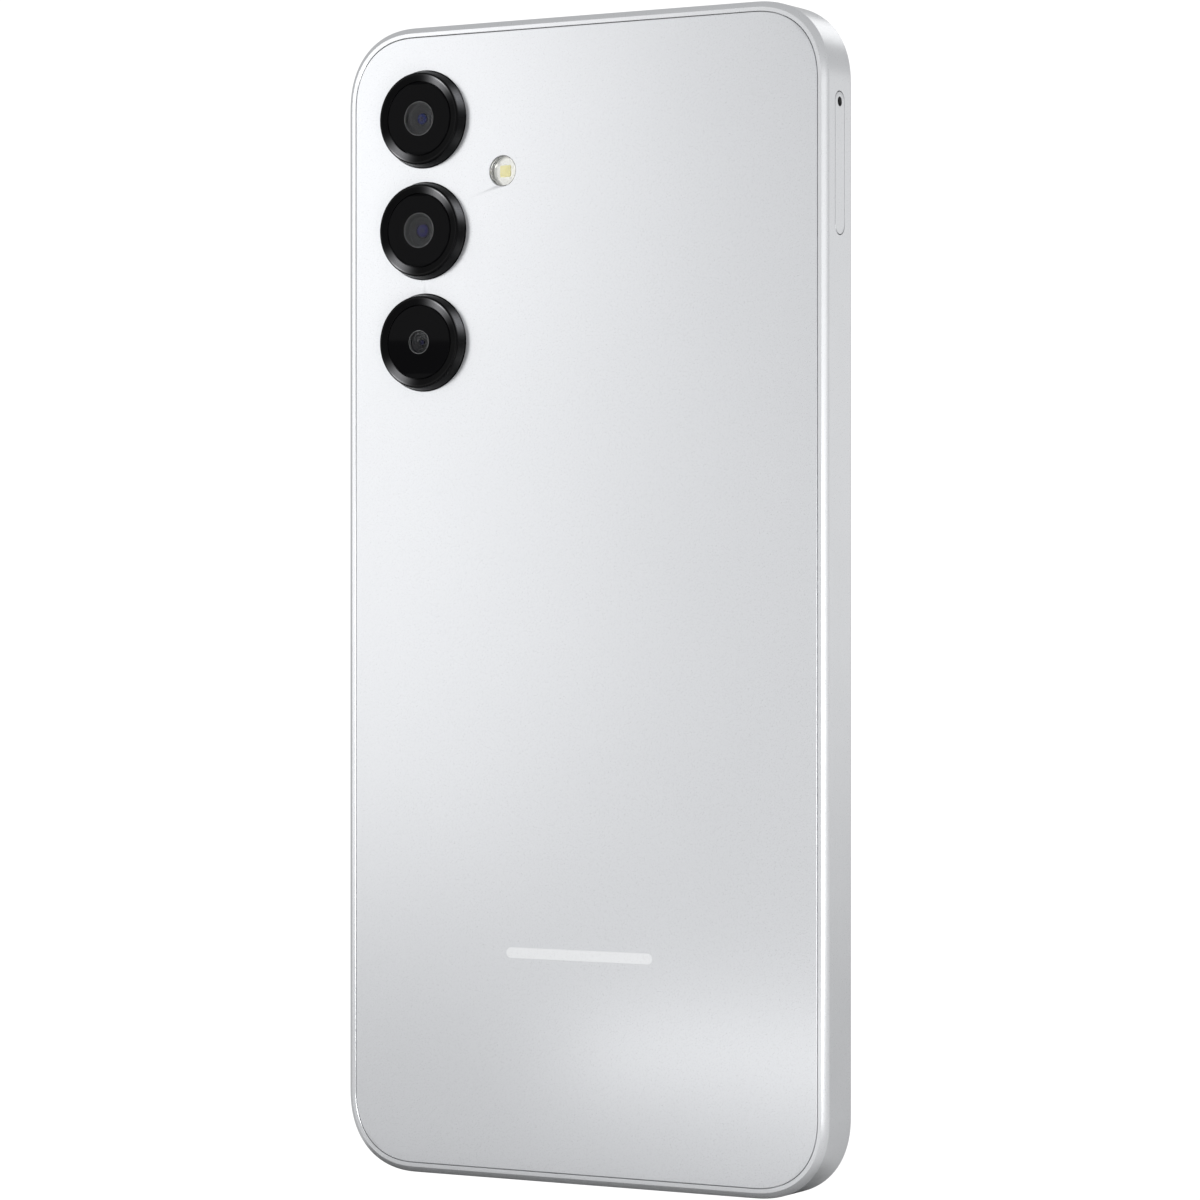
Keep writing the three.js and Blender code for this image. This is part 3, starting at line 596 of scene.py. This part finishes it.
def circuit_board():
    """Solder mask over traces, with tinned pads and plated holes."""
    made = shader("circuit_board", Coat_Weight=0.3, Coat_Roughness=0.2)
    tree = made.node_tree
    lines = node(tree, "TexBrick", {"offset": 0.37, "squash": 1.6})
    laid_flat = node(tree, "Mapping", None, i0=position(tree), i2=(math.pi / 2, 0, 0))
    tree.links.new(laid_flat.outputs[0], lines.inputs[0])
    lines.inputs["Scale"].default_value = 450
    lines.inputs["Mortar Size"].default_value = 0.06
    cells = node(tree, "TexVoronoi")
    tree.links.new(position(tree), cells.inputs["Vector"])
    cells.inputs["Scale"].default_value = 620
    pads = between(tree, cells.outputs["Distance"], 1, 0, 0.16, 0.2)
    mask = colours(tree, lines.outputs["Fac"], (0.012, 0.07, 0.045), (0.02, 0.12, 0.07))
    feed(made, "Base Color", colours(tree, pads, mask, (0.72, 0.66, 0.5)))
    feed(made, "Metallic", pads)
    feed(made, "Roughness", between(tree, noise(tree, 0.5, 2), 0.3, 0.42))
    feed(made, "Normal", bump(tree, lines.outputs["Fac"], 0.02))
    return made


def perforated_steel():
    """A fine steel grille of round holes, each painted near black as painted shade."""
    made = shader("grille", Metallic=1.0)
    tree = made.node_tree
    cells = node(tree, "TexVoronoi", {"voronoi_dimensions": "2D"})
    tree.links.new(position(tree), cells.inputs["Vector"])
    cells.inputs["Scale"].default_value = 3200
    cells.inputs["Randomness"].default_value = 0.0
    hole = between(tree, cells.outputs["Distance"], 1, 0, 0.26, 0.34)
    # painted shade: each hole is painted near black for the dark behind it
    feed(made, "Base Color", colours(tree, hole, (0.3, 0.3, 0.31), (0.01, 0.01, 0.01)))
    feed(made, "Roughness", between(tree, hole, 0.35, 0.9, 0, 1))
    feed(made, "Normal", bump(tree, math_node(tree, "SUBTRACT", 1.0, hole), 0.03))
    return made


SILVER = frame_metal()
REAR = rear_silver()
STEEL = grained(
    "brushed_steel", (0.52, 0.53, 0.55), (0.60, 0.61, 0.63), (0.24, 0.42), 0.12, 4, 0.001,
    (1, 1, 14), Metallic=1.0,
)
DARK_PLASTIC = grained(
    "moulded_plastic", (0.022, 0.022, 0.024), (0.034, 0.034, 0.037), (0.45, 0.6), 0.15, 5, 0.004,
)
BARREL = grained(
    "lens_barrel", (0.016, 0.0165, 0.018), (0.024, 0.0245, 0.027), (0.38, 0.5), 0.1, 1.5, 0.003,
    Specular_IOR_Level=0.2,
)
RUBBER = grained("rubber", (0.03, 0.03, 0.031), (0.05, 0.05, 0.052), (0.7, 0.85), 0.2, 2, 0.006)
TAPE = grained("foam_tape", (0.012, 0.012, 0.013), (0.025, 0.025, 0.026), (0.7, 0.9), 0.25, 2, 0.01)
WRAP = grained(
    "battery_wrap", (0.035, 0.037, 0.042), (0.055, 0.058, 0.064), (0.3, 0.5), 0.6, 9, 0.008, (1, 1, 3),
    Metallic=0.3, Coat_Weight=0.3,
)
FLEX = grained(
    "flex_circuit", (0.16, 0.062, 0.02), (0.24, 0.10, 0.035), (0.25, 0.4), 0.4, 2.5, 0.004, Coat_Weight=0.5,
)
COPPER = grained(
    "copper", (0.60, 0.28, 0.14), (0.72, 0.36, 0.2), (0.22, 0.4), 0.15, 3, 0.001, (1, 12, 1), Metallic=1.0,
)
GOLD = grained(
    "plated_contact", (0.80, 0.58, 0.28), (0.86, 0.66, 0.34), (0.18, 0.3), 0.1, 1, 0.001, Metallic=1.0,
)
TUNGSTEN = grained(
    "sintered_tungsten", (0.2, 0.2, 0.21), (0.28, 0.28, 0.29), (0.4, 0.6), 0.12, 1, 0.006, Metallic=1.0,
)
DISPLAY = grained("display_back", (0.02, 0.021, 0.024), (0.032, 0.033, 0.037), (0.35, 0.5), 0.3, 12, 0.002)
CERAMIC = grained("component_ceramic", (0.05, 0.045, 0.04), (0.16, 0.13, 0.10), (0.35, 0.5), 0.2, 1.2, 0.004)
TIN = grained(
    "solder_tin", (0.62, 0.62, 0.63), (0.72, 0.72, 0.73), (0.25, 0.4), 0.1, 0.8, 0.002, Metallic=1.0,
)
BOARD = circuit_board()
GRILLE = perforated_steel()
PHOSPHOR = phosphor()
REFLECTOR = grained(
    "led_reflector", (0.92, 0.92, 0.91), (0.96, 0.96, 0.95), (0.3, 0.42), 0.15, 1, 0.002, Metallic=0.8,
)
FLASH_COVER = flash_cover()

# ---------------------------------------------------------------- casing


def quarter_ellipse(across, along, steps=10):
    """From the frame's flat side to its face, as (inset, depth below the face)."""
    turns = (step / steps * math.pi / 2 for step in range(steps + 1))
    return [(across * (1 - math.cos(t)), along * (1 - math.sin(t))) for t in turns]


def quarter_dome(radius, crown, steps):
    """A dome from its top to its rim, as (radius, rise above the rim)."""
    turns = (step / steps * math.pi / 2 for step in range(steps + 1))
    return [(radius * math.sin(t), crown * math.cos(t)) for t in turns]


def eased_chamfer(across, along, swell=0.05, steps=6):
    """A chamfer with a slight belly between two crisp edges, as (inset, depth below the face)."""
    length = math.hypot(across, along)
    points = []
    for t in (step / steps for step in range(steps + 1)):
        out = swell * 4 * t * (1 - t) / length
        points.append((across * t - out * along, along * (1 - t) - out * across))
    return points


def punch(shape, axis, face, inward, depth, chamfer):
    """A tool that cuts a hole with a chamfered mouth. inward is the sign of the way into the body."""
    outside = face - inward * 0.5
    rows = [(-chamfer, outside), (-chamfer, face), (0, face + inward * chamfer), (0, face + inward * depth)]
    return loft(rows, shape, axis=axis)


def frame_openings():
    """Cutters for the holes that go through the frame: the tray's, the edges' and the keys'."""
    through = WALL + 0.5
    tray = pill(0, TRAY.z, TRAY_HEAD_WIDTH + TRAY_GAP, TRAY_HEAD + TRAY_GAP, 16)
    usb = pill(0, 0, USB_SHELL[0] + 0.3, USB_SHELL[1] + 0.3, 14)
    cutters = [
        punch(tray, "x", -HALF_W, 1, through, 0.04),
        punch(usb, "z", 0, 1, through, 0.22),
        punch(disc(middle("bottom_microphone").x, 0, MICROPHONE_HOLE, 24), "z", 0, 1, through, 0.08),
        punch(disc(middle("top_microphone").x, 0, MICROPHONE_HOLE, 24), "z", HEIGHT, -1, through, 0.08),
    ]
    first_slot = span("speaker_mesh")[0].x + 1.0
    for slot in range(SPEAKER_SLOTS):
        mouth = pill(first_slot + SPEAKER_PITCH * slot, 0, 2.1, 1.1, 10)
        cutters.append(punch(mouth, "z", 0, 1, through, 0.1))
    for key, (length, _, _) in KEYS.items():
        mouth = pill(0, middle(key).z, KEY_WIDTH + KEY_GAP, length + KEY_GAP, 12)
        cutters.append(punch(mouth, "x", HALF_W, -1, 2, 0.08))
    return cutters


def frame_recesses(plate_ledge):
    """Cutters for the earpiece's passage at the top and the keys' recess in the right side."""
    reach = WALL + 0.5
    return [
        block((-6, 6), (-3.3, plate_ledge - 0.01), (HEIGHT - reach, HEIGHT - 1.5), 0.05),
        block((HALF_W - reach, 37.35), (-1.9, 1.9), (94.5, 142.5), 0.1),
    ]


def make_side_frame():
    rear_ledge = span("rear_cover_adhesive")[0].y - 0.03
    front_ledge = span("display_adhesive")[1].y + 0.03
    plate_ledge = span("mid_plate")[0].y - 0.03
    lip = 0.05
    profile = [
        *((inset, -HALF_T + depth) for inset, depth in quarter_ellipse(*FRONT_EDGE)),
        (GLASS_POCKET - lip, -HALF_T),
        (GLASS_POCKET, -HALF_T + lip),
        (GLASS_POCKET, front_ledge),
        (DISPLAY_LEDGE, front_ledge),
        (DISPLAY_LEDGE, plate_ledge),
        (WALL, plate_ledge),
        (WALL, rear_ledge),
        (REAR_POCKET, rear_ledge),
        (REAR_POCKET, HALF_T - lip),
        (REAR_POCKET - lip, HALF_T),
        *((inset, HALF_T - depth) for inset, depth in reversed(eased_chamfer(*REAR_EDGE))),
    ]
    cuts = [*frame_openings(), *frame_recesses(plate_ledge)]
    shell = ring_round_body(profile)
    piece("side_frame_shell", shell, SILVER, ["side_frame"], cuts=cuts, sharp=28)


def make_rear_cover():
    low, high = span("rear_cover")
    holes = [disc(at.x, at.z, 6.985, 96) for at in CAMERAS.values()]
    holes.append(disc(FLASH.x, FLASH.z, 2.17, 64))
    cover = plate(low.y, high.y, outline(REAR_POCKET + 0.09), holes, rim=0.09)
    piece("rear_cover_panel", cover, REAR, ["rear_cover"])


def make_screen():
    low, high = span("cover_glass")
    glass = plate(low.y, high.y, outline(GLASS_POCKET + 0.06), rim=0.3, steps=5)
    notch = loft(
        [(0, low.y - 1), (0, high.y + 1)],
        rounded_box(-6, HEIGHT - GLASS_POCKET - 0.55, 6, HEIGHT + 2, 0.25),
    )
    piece("screen_glass", glass, screen_glass(), ["cover_glass"], cuts=[notch])


def make_front_camera():
    """The front camera: a round barrel towards the glass on a square body."""
    eye = middle("front_camera")
    back, front = span("front_camera")[1].y, span("front_camera")[0].y
    shoulder = -1.95  # where the barrel meets the body
    barrel = turned(
        softened([
            (0, front + 0.7, 0), (0.55, front + 0.7, 0), (1.0, front + 0.15, 0.05), (1.35, front, 0.05),
            (2.5, front, 0.1), (2.5, shoulder, 0), (0, shoulder, 0),
        ]),
        eye.x, eye.z, 64,
    )
    body = block((eye.x - 3, eye.x + 3), (shoulder, back), (eye.z - 3, eye.z + 3), 0.15)
    piece("front_camera_module", joined(barrel, body), BARREL, ["front_camera"])
    pupil = 0.56
    dome = [(radius, front + 0.62 - rise) for radius, rise in quarter_dome(pupil, 0.22, 8)]
    lens = turned([*dome, (pupil, front + 0.68), (0, front + 0.68)], eye.x, eye.z, 48)
    lens_with_painted_reflection = lens_painted_reflection("front_lens_coating", (eye.x, eye.z), pupil, (0.03, 0.04, 0.12))
    piece("front_camera_lens", lens, lens_with_painted_reflection)


# ---------------------------------------------------------------- cameras

FACE = HALF_T  # the rear panel's surface, from which the cameras' heights are measured
# A camera ring's section, as (radius, height, fillet): its flange, its wall, its bevel and its ledge.
RING_PROFILE = [
    (4.7, -1.13, 0), (7.6, -1.13, 0.05), (7.6, -0.85, 0.05), (6.92, -0.85, 0.05), (6.92, 0.15, 0.3),
    (6.6, 1.55, 0.12), (6.48, 1.72, 0.09), (6.22, 1.72, 0.07), (5.34, 1.50, 0.05), (5.32, 1.13, 0.02),
    (4.7, 1.13, 0.05),
]
# For each camera: its node, its body, its window's clear radius, its front element's radius and the colour of
# its painted reflection.
LENS = {
    "upper": ("ultrawide_camera", "root", 2.4, 0.95, (0.022, 0.03, 0.15)),
    "middle": ("main_camera_lens", "focus_lens", 2.45, 1.15, (0.03, 0.024, 0.13)),
    "lower": ("macro_camera", "root", 1.65, 0.45, (0.02, 0.02, 0.06)),
}
BARREL_RADIUS = {"upper": 2.65, "middle": 2.85, "lower": 1.95}
# The square holder behind a camera: its side, and the height of its top.
HOLDER = {"upper": (8.4, 1.9), "lower": (6.4, 1.6)}


def make_camera(place):
    """One rear camera: its ring, its window, and behind it the barrel with its front element."""
    at = CAMERAS[place]
    ring = turned([(r, FACE + h) for r, h in softened(RING_PROFILE)], at.x, at.z, 128)
    ring_black_with_highlights = black_with_painted_highlights(f"turned_black_painted_highlights_{place}", (at.x, at.z))
    piece(f"camera_ring_{place}_trim", ring, ring_black_with_highlights, [f"camera_ring_{place}"])

    low, high = span(f"camera_window_{place}")
    window = plate(low.y, high.y, disc(at.x, at.z, 5.24, 96), rim=0.08)
    camera, body, clear, pupil, reflection_hue = LENS[place]
    glass = printed_glass(f"window_glass_{place}", (at.x, at.z), clear)
    piece(f"camera_window_{place}_glass", window, glass, [f"camera_window_{place}"])

    low_end, high_end = span(camera)
    outer = BARREL_RADIUS[place]
    top = high_end.y
    foot = low_end.y + (1.5 if place in HOLDER else 0)
    barrel = turned(
        softened([
            (0, foot, 0), (outer, foot, 0.1), (outer, top - 0.1, 0.1), (outer - 0.25, top, 0.05),
            (pupil + 0.95, top, 0.05), (pupil + 0.85, top - 0.18, 0.04), (pupil + 0.35, top - 0.22, 0.04),
            (pupil + 0.25, top - 0.36, 0.04), (pupil, top - 0.4, 0.04), (pupil, top - 0.7, 0),
            (0, top - 0.7, 0),
        ], 3),
        at.x, at.z,
    )
    parts = [barrel]
    if place in HOLDER:
        side, holder_top = HOLDER[place]
        half = side / 2
        across, up = (at.x - half, at.x + half), (at.z - half, at.z + half)
        parts.append(block(across, (low_end.y, holder_top), up, 0.25))
    piece(f"{camera}_barrel", joined(*parts), BARREL, [camera], body)

    dome = [(radius, top - 0.5 + rise) for radius, rise in quarter_dome(pupil, 0.35, 12)]
    glass_dome = turned([*dome, (pupil, top - 0.69), (0, top - 0.69)], at.x, at.z, 64)
    lens_with_painted_reflection = lens_painted_reflection(f"lens_painted_reflection_{place}", (at.x, at.z), pupil, reflection_hue)
    piece(f"{camera}_element", glass_dome, lens_with_painted_reflection, (), body)


def make_flash():
    low, high = span("flash_window")
    edge, crown = 2.08, 0.12
    dome = [(radius, high.y - crown + rise) for radius, rise in quarter_dome(edge, crown, 10)]
    window = turned([*dome, (edge, low.y + 0.05), (edge - 0.05, low.y), (0, low.y)], FLASH.x, FLASH.z, 64)
    piece("flash_window_dome", window, FLASH_COVER, ["flash_window"])
    led_low, led_high = span("flash_led")
    carrier = block((led_low.x, led_high.x), (led_low.y, led_high.y - 0.15), (led_low.z, led_high.z), 0.04)
    piece("flash_led_reflector", carrier, REFLECTOR, ["flash_led"])
    half = 0.8  # half the emitter's side
    across, up = (FLASH.x - half, FLASH.x + half), (FLASH.z - half, FLASH.z + half)
    emitter = block(across, (led_high.y - 0.2, led_high.y), up, 0.04)
    piece("flash_led_emitter", emitter, PHOSPHOR)


# ---------------------------------------------------------------- keys, tray and socket


def make_key(key):
    """A key's cap, the flange that holds it in the frame, and the studs that press its switches."""
    low, high = span(key)
    z = middle(key).z
    length, reach, pads = KEYS[key]
    cap = plate(37.0, high.x, pill(0, z, KEY_WIDTH, length, 14), axis="x", rim=0.28, steps=6)
    flange = block((36.85, 37.1), (-1.55, 1.55), (z - reach, z + reach), 0.05)
    studs = [block((low.x, 36.9), (-0.8, 0.8), (z + off - 0.8, z + off + 0.8), 0.05) for off in pads]
    piece(f"{key}_cap", joined(cap, flange, *studs), SILVER, [key], key)


def make_tray():
    """The card tray: its head, a collar for the seal, and a bed with a pocket for each card."""
    face = TRAY_LOW.x
    head = plate(face, face + 1.2, pill(0, TRAY.z, TRAY_HEAD_WIDTH, TRAY_HEAD, 16), axis="x", rim=0.06)
    collar = plate(face + 1.1, -35.3, pill(0, TRAY.z, 1.8, TRAY_HEAD - 0.8, 12), axis="x", rim=0.05)
    bed = plate(-0.6, 0.6, rounded_box(-35.5, TRAY_BED[0], TRAY_HIGH.x, TRAY_BED[1], 0.8), rim=0.12)
    drawer = united(head, collar, bed)
    cuts = []
    lip = 0.6  # what a card rests on, round the window under it
    for (x0, x1), (z0, z1) in CARD_POCKETS:
        window = rounded_box(x0 + lip, z0 + lip, x1 - lip, z1 - lip, 0.5)
        cuts.append(plate(-0.15, 1.5, rounded_box(x0, z0, x1, z1, 0.7), rim=0.01, steps=1))
        cuts.append(plate(-1.5, 0.2, window, rim=0.01, steps=1))
    cuts.append(punch(disc(0, PIN_HOLE.z, 0.66, 32), "x", face, 1, 5, 0.05))
    piece("card_tray_drawer", drawer, SILVER, ["card_tray"], "card_tray", cuts, sharp=30)
    bore = disc(0, PIN_HOLE.z, 0.58, 32)
    bush = plate(face + 0.04, face + 3, disc(0, PIN_HOLE.z, 0.65, 32), [bore], axis="x", rim=0.02)
    piece("card_tray_pin_bush", bush, RUBBER, (), "card_tray")


def make_tray_seal():
    low, high = span("card_tray_seal")
    outer = pill(0, TRAY.z, 2.5, TRAY_HEAD - 0.1, 14)
    inner = pill(0, TRAY.z, 1.9, TRAY_HEAD - 0.7, 14)
    seal = plate(low.x, high.x, outer, [inner], axis="x", rim=0.12)
    piece("card_tray_gasket", seal, RUBBER, ["card_tray_seal"], "card_tray")


def make_usb():
    """The charging socket: its steel shell, and the tongue with its contacts."""
    low, high = span("usb_socket")
    outer = pill(0, 0, *USB_SHELL, 16)
    inner = pill(0, 0, *(size - 2 * USB_WALL for size in USB_SHELL), 16)
    tube = plate(low.z, high.z - USB_WALL, outer, [inner], axis="z", rim=0.1)
    back = plate(high.z - USB_WALL, high.z, outer, axis="z", rim=0.05)
    foot = (low.y + 0.46, low.y + 0.76)
    legs = [block((side * 4.4, side * 6.2), foot, (5.2, 7.6), 0.05) for side in (-1, 1)]
    piece("usb_socket_shell", joined(tube, back, *legs), STEEL, ["usb_socket"])
    blade_low, blade_high = span("usb_tongue")
    blade = plate(-0.33, 0.33, rounded_box(-3.3, blade_low.z, 3.3, 7.0, 0.5), rim=0.08)
    base = plate(6.4, blade_high.z, pill(0, 0, 8.24, 2.46, 14), axis="z", rim=0.05)
    piece("usb_tongue_blade", joined(blade, base), DARK_PLASTIC, ["usb_tongue"])
    contacts = []
    for side in (-1, 1):
        for i in range(12):
            x = (i - 5.5) * 0.5
            depth = (side * 0.31, side * 0.36)
            contacts.append(block((x - 0.12, x + 0.12), depth, (blade_low.z + 0.25, 5.6), 0.02))
    piece("usb_contacts", joined(*contacts), GOLD)


# ---------------------------------------------------------------- boards and their parts


def plan(name):
    """The rectangle that a CAD node covers in (x, z)."""
    low, high = span(name)
    return low.x, low.z, high.x, high.z


def is_free(spot, taken, clearance):
    """Whether a spot keeps its clearance from every rectangle that is taken."""
    x0, z0, x1, z1 = spot
    return all(
        x1 + clearance < a0 or x0 - clearance > a1 or z1 + clearance < b0 or z0 - clearance > b1
        for a0, b0, a1, b1 in taken
    )


def is_on(board, spot):
    """Whether all four corners of a spot lie over the board."""
    surface = span(board)[1].y
    x0, z0, x1, z1 = spot
    for x, z in ((x0, z0), (x1, z0), (x0, z1), (x1, z1)):
        found, where, _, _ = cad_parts[board].ray_cast((x * MM, 1, z * MM), (0, -1, 0))
        if not found or abs(where.y / MM - surface) > 0.01:
            return False
    return True


# Length, width and height of the parts' usual cases.
CASES = [(0.6, 0.3, 0.3), (1.0, 0.5, 0.5), (1.0, 0.5, 0.35), (1.6, 0.8, 0.6), (2.2, 1.8, 0.6)]
CORE = 0.62  # how far a case's ceramic core reaches towards its ends
CAP = 0.66  # where its tinned caps begin


def case_slice(centre, half, along_x, low, high, height):
    """The slice of a case between two places along its length, from -1 at one end to 1 at the other."""
    (x, z), (half_x, half_z) = centre, half
    if along_x:
        return block((x + low * half_x, x + high * half_x), height, (z - half_z, z + half_z), 0.03)
    return block((x - half_x, x + half_x), height, (z + low * half_z, z + high * half_z), 0.03)


def populate(board, region, taken, count, seed):
    """Ceramic components with tinned ends, scattered over a board's rear side clear of what is taken."""
    rng = random.Random(seed)
    surface = span(board)[1].y
    taken = list(taken)
    cores, ends = [], []
    for _ in range(count * 8):
        long, wide, tall = rng.choice(CASES)
        x, z = rng.uniform(region[0], region[2]), rng.uniform(region[1], region[3])
        along_x = rng.random() < 0.5
        half_x, half_z = (long / 2, wide / 2) if along_x else (wide / 2, long / 2)
        spot = (x - half_x, z - half_z, x + half_x, z + half_z)
        if len(cores) == count or not is_free(spot, taken, 0.25) or not is_on(board, spot):
            continue
        taken.append(spot)
        case = ((x, z), (half_x, half_z), along_x)
        height = (surface, surface + tall)
        cores.append(case_slice(*case, -CORE, CORE, height))
        ends.extend(case_slice(*case, *reach, height) for reach in ((-1, -CAP), (CAP, 1)))
    piece(f"{board}_components", joined(*cores), CERAMIC)
    piece(f"{board}_component_ends", joined(*ends), TIN)


def make_components():
    """What each board carries besides the CAD's own pieces, clear of those and of the flex circuits' ends."""
    upper = [plan(name) for name in (
        "processor_shield", "radio_shield", "power_shield", "card_socket", "top_microphone",
        "bracket_screw_1", "bracket_screw_2", "bracket_screw_3", "bracket_screw_4",
        "earpiece_speaker", "front_camera",
    )]
    upper += [(-21, 113, -6, 118), (4, 113, 9.5, 118)]
    populate("main_board", region=(-33.5, 113.8, 16, 159), taken=upper, count=150, seed=3)
    lower = [plan(name) for name in ("usb_socket", "bottom_microphone", "bracket_screw_6")]
    lower += [(-20.5, 16.5, -0.5, 22), (2.5, 18, 7, 22)]
    populate("sub_board", region=(-19.8, 4.3, 11.8, 21.5), taken=lower, count=60, seed=5)


# ---------------------------------------------------------------- inner pieces that keep their CAD shape

FINISH = {
    STEEL: [
        "mid_plate", "processor_shield", "radio_shield", "power_shield", "top_microphone",
        "bottom_microphone", "card_socket", "eject_rod", "eject_lever", "key_bracket",
        "vibration_motor_case", "vibration_motor_base",
        *(f"bracket_screw_{i}" for i in range(1, 8)),
    ],
    TAPE: ["rear_cover_adhesive", "display_adhesive"],
    DISPLAY: ["display_panel"],
    FLEX: ["display_flex", "key_flex", "interconnect_flex"],
    BARREL: ["main_camera_housing"],
    DARK_PLASTIC: [
        "camera_cradle", "earpiece_speaker", "upper_cover", "lower_cover", "card_contact_block",
        "loudspeaker_module", "antenna_cable",
    ],
    BOARD: ["main_board", "sub_board"],
    COPPER: ["nfc_coil"],
    WRAP: ["battery"],
    GRILLE: ["speaker_mesh"],
    TUNGSTEN: ["vibration_motor_rotor"],
}


def dress_inner_pieces():
    """Gives the CAD's own pieces their materials."""
    for material, names in FINISH.items():
        for name in names:
            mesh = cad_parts[name].data
            mesh.materials.clear()
            mesh.materials.append(material)


# ---------------------------------------------------------------- camera, floor and light


def make_camera_view():
    data = bpy.data.cameras.new("camera")
    data.sensor_width = 36
    data.lens = 129.6
    data.clip_start = 0.01
    made = bpy.data.objects.new("camera", data)
    made.location = (-0.3064, 0.5274, 0.0822)
    made.rotation_euler = (math.pi / 2, 0, math.radians(210.07))
    bpy.context.scene.collection.objects.link(made)
    bpy.context.scene.camera = made


WHITE = 1.1  # how bright the table and the room look to the camera
TABLE_GLOW = 0.12
SHADE_PATCH_MARGIN = 7  # how far the painted shade round the part fades out, in mm


def make_floor():
    """A light table: white to look at, but a soft glow for what stands on it, and a darker patch of painted
    shade round its foot.
    """
    bm = bmesh.new()
    bmesh.ops.create_circle(bm, cap_ends=True, radius=40000, segments=64)
    floor = as_object(bm, "floor")
    material = bpy.data.materials.new("light_table")
    material.use_nodes = True
    tree = material.node_tree
    tree.nodes.clear()
    # painted shade: a darker floor round the part, seen only in its lighting and reflections
    painted_shade = node(tree, "BsdfDiffuse", None, i0=(0.3, 0.3, 0.3, 1))
    top = node(tree, "BsdfDiffuse", None, i0=(0.6, 0.6, 0.6, 1))
    glow = node(tree, "Emission", None, i1=TABLE_GLOW)
    table = node(tree, "AddShader", None, i0=top.outputs[0], i1=glow.outputs[0])
    beyond = between(tree, off_box(tree, (0, 0), (HALF_W, HALF_T), ("X", "Y")), 0, 1, 0, SHADE_PATCH_MARGIN)
    lower = node(tree, "MixShader", None, i0=beyond, i1=painted_shade.outputs[0], i2=table.outputs[0])
    white = node(tree, "Emission", None, i1=WHITE)
    seen = node(tree, "LightPath").outputs["Is Camera Ray"]
    choice = node(tree, "MixShader", None, i0=seen, i1=lower.outputs[0], i2=white.outputs[0])
    node(tree, "OutputMaterial", None, i0=choice.outputs[0])
    floor.data.materials.append(material)


# Each softbox: its place in m, its width and height in m, and its power in W.
SOFTBOXES = {
    "behind_right": ((0.39, 0.5, 0.24), (0.17, 0.17), 0.165),
    "behind_right_low": ((0.39, 0.5, 0.06), (0.17, 0.17), 0.12),
    "close_left": ((-0.1, 0.12, 0.05), (0.08, 0.08), 0.1),
    "side_left": ((-0.5, -0.7, 0.15), (0.4, 0.3), 0.145),
    "chamfer": ((-0.506, 0.378, 0.13), (0.3, 0.28), 0.21),
    "corner": ((-0.06, -0.735, 0.55), (0.34, 0.2), 0.2),
    "low_strip": ((0.0, 0.09, 0.009), (0.1, 0.012), 0.004),
}
AMBIENT = 0.555


def make_world(ambient):
    """Soft light from all round, and plain white where the camera looks."""
    world = bpy.context.scene.world or bpy.data.worlds.new("studio")
    bpy.context.scene.world = world
    world.use_nodes = True
    tree = world.node_tree
    tree.nodes.clear()
    studio = node(tree, "Background", None, i0=(0.985, 0.99, 1.0, 1), i1=ambient)
    white = node(tree, "Background", None, i0=(1, 1, 1, 1), i1=WHITE)
    seen = node(tree, "LightPath").outputs["Is Camera Ray"]
    choice = node(tree, "MixShader", None, i0=seen, i1=studio.outputs[0], i2=white.outputs[0])
    node(tree, "OutputWorld", None, i0=choice.outputs[0])


def make_softbox(name, place, size, power):
    """A rectangular light that faces the middle of the part."""
    data = bpy.data.lights.new(name, "AREA")
    data.shape = "RECTANGLE"
    data.size, data.size_y = size
    data.energy = power
    made = bpy.data.objects.new(name, data)
    made.location = place
    aim = Vector((0, 0, HEIGHT * MM / 2)) - made.location
    made.rotation_euler = aim.to_track_quat("-Z", "Y").to_euler()
    made.visible_camera = False
    bpy.context.scene.collection.objects.link(made)


def make_studio():
    bpy.context.scene.view_settings.view_transform = "Standard"
    make_floor()
    make_world(AMBIENT)
    for name, (place, size, power) in SOFTBOXES.items():
        make_softbox(name, place, size, power)


# ---------------------------------------------------------------- assembly

make_camera_view()
make_side_frame()
make_rear_cover()
make_screen()
make_front_camera()
for place in CAMERAS:
    make_camera(place)
make_flash()
for key in KEYS:
    make_key(key)
make_tray()
make_tray_seal()
make_usb()
make_components()
dress_inner_pieces()
make_studio()

bpy.context.view_layer.update()
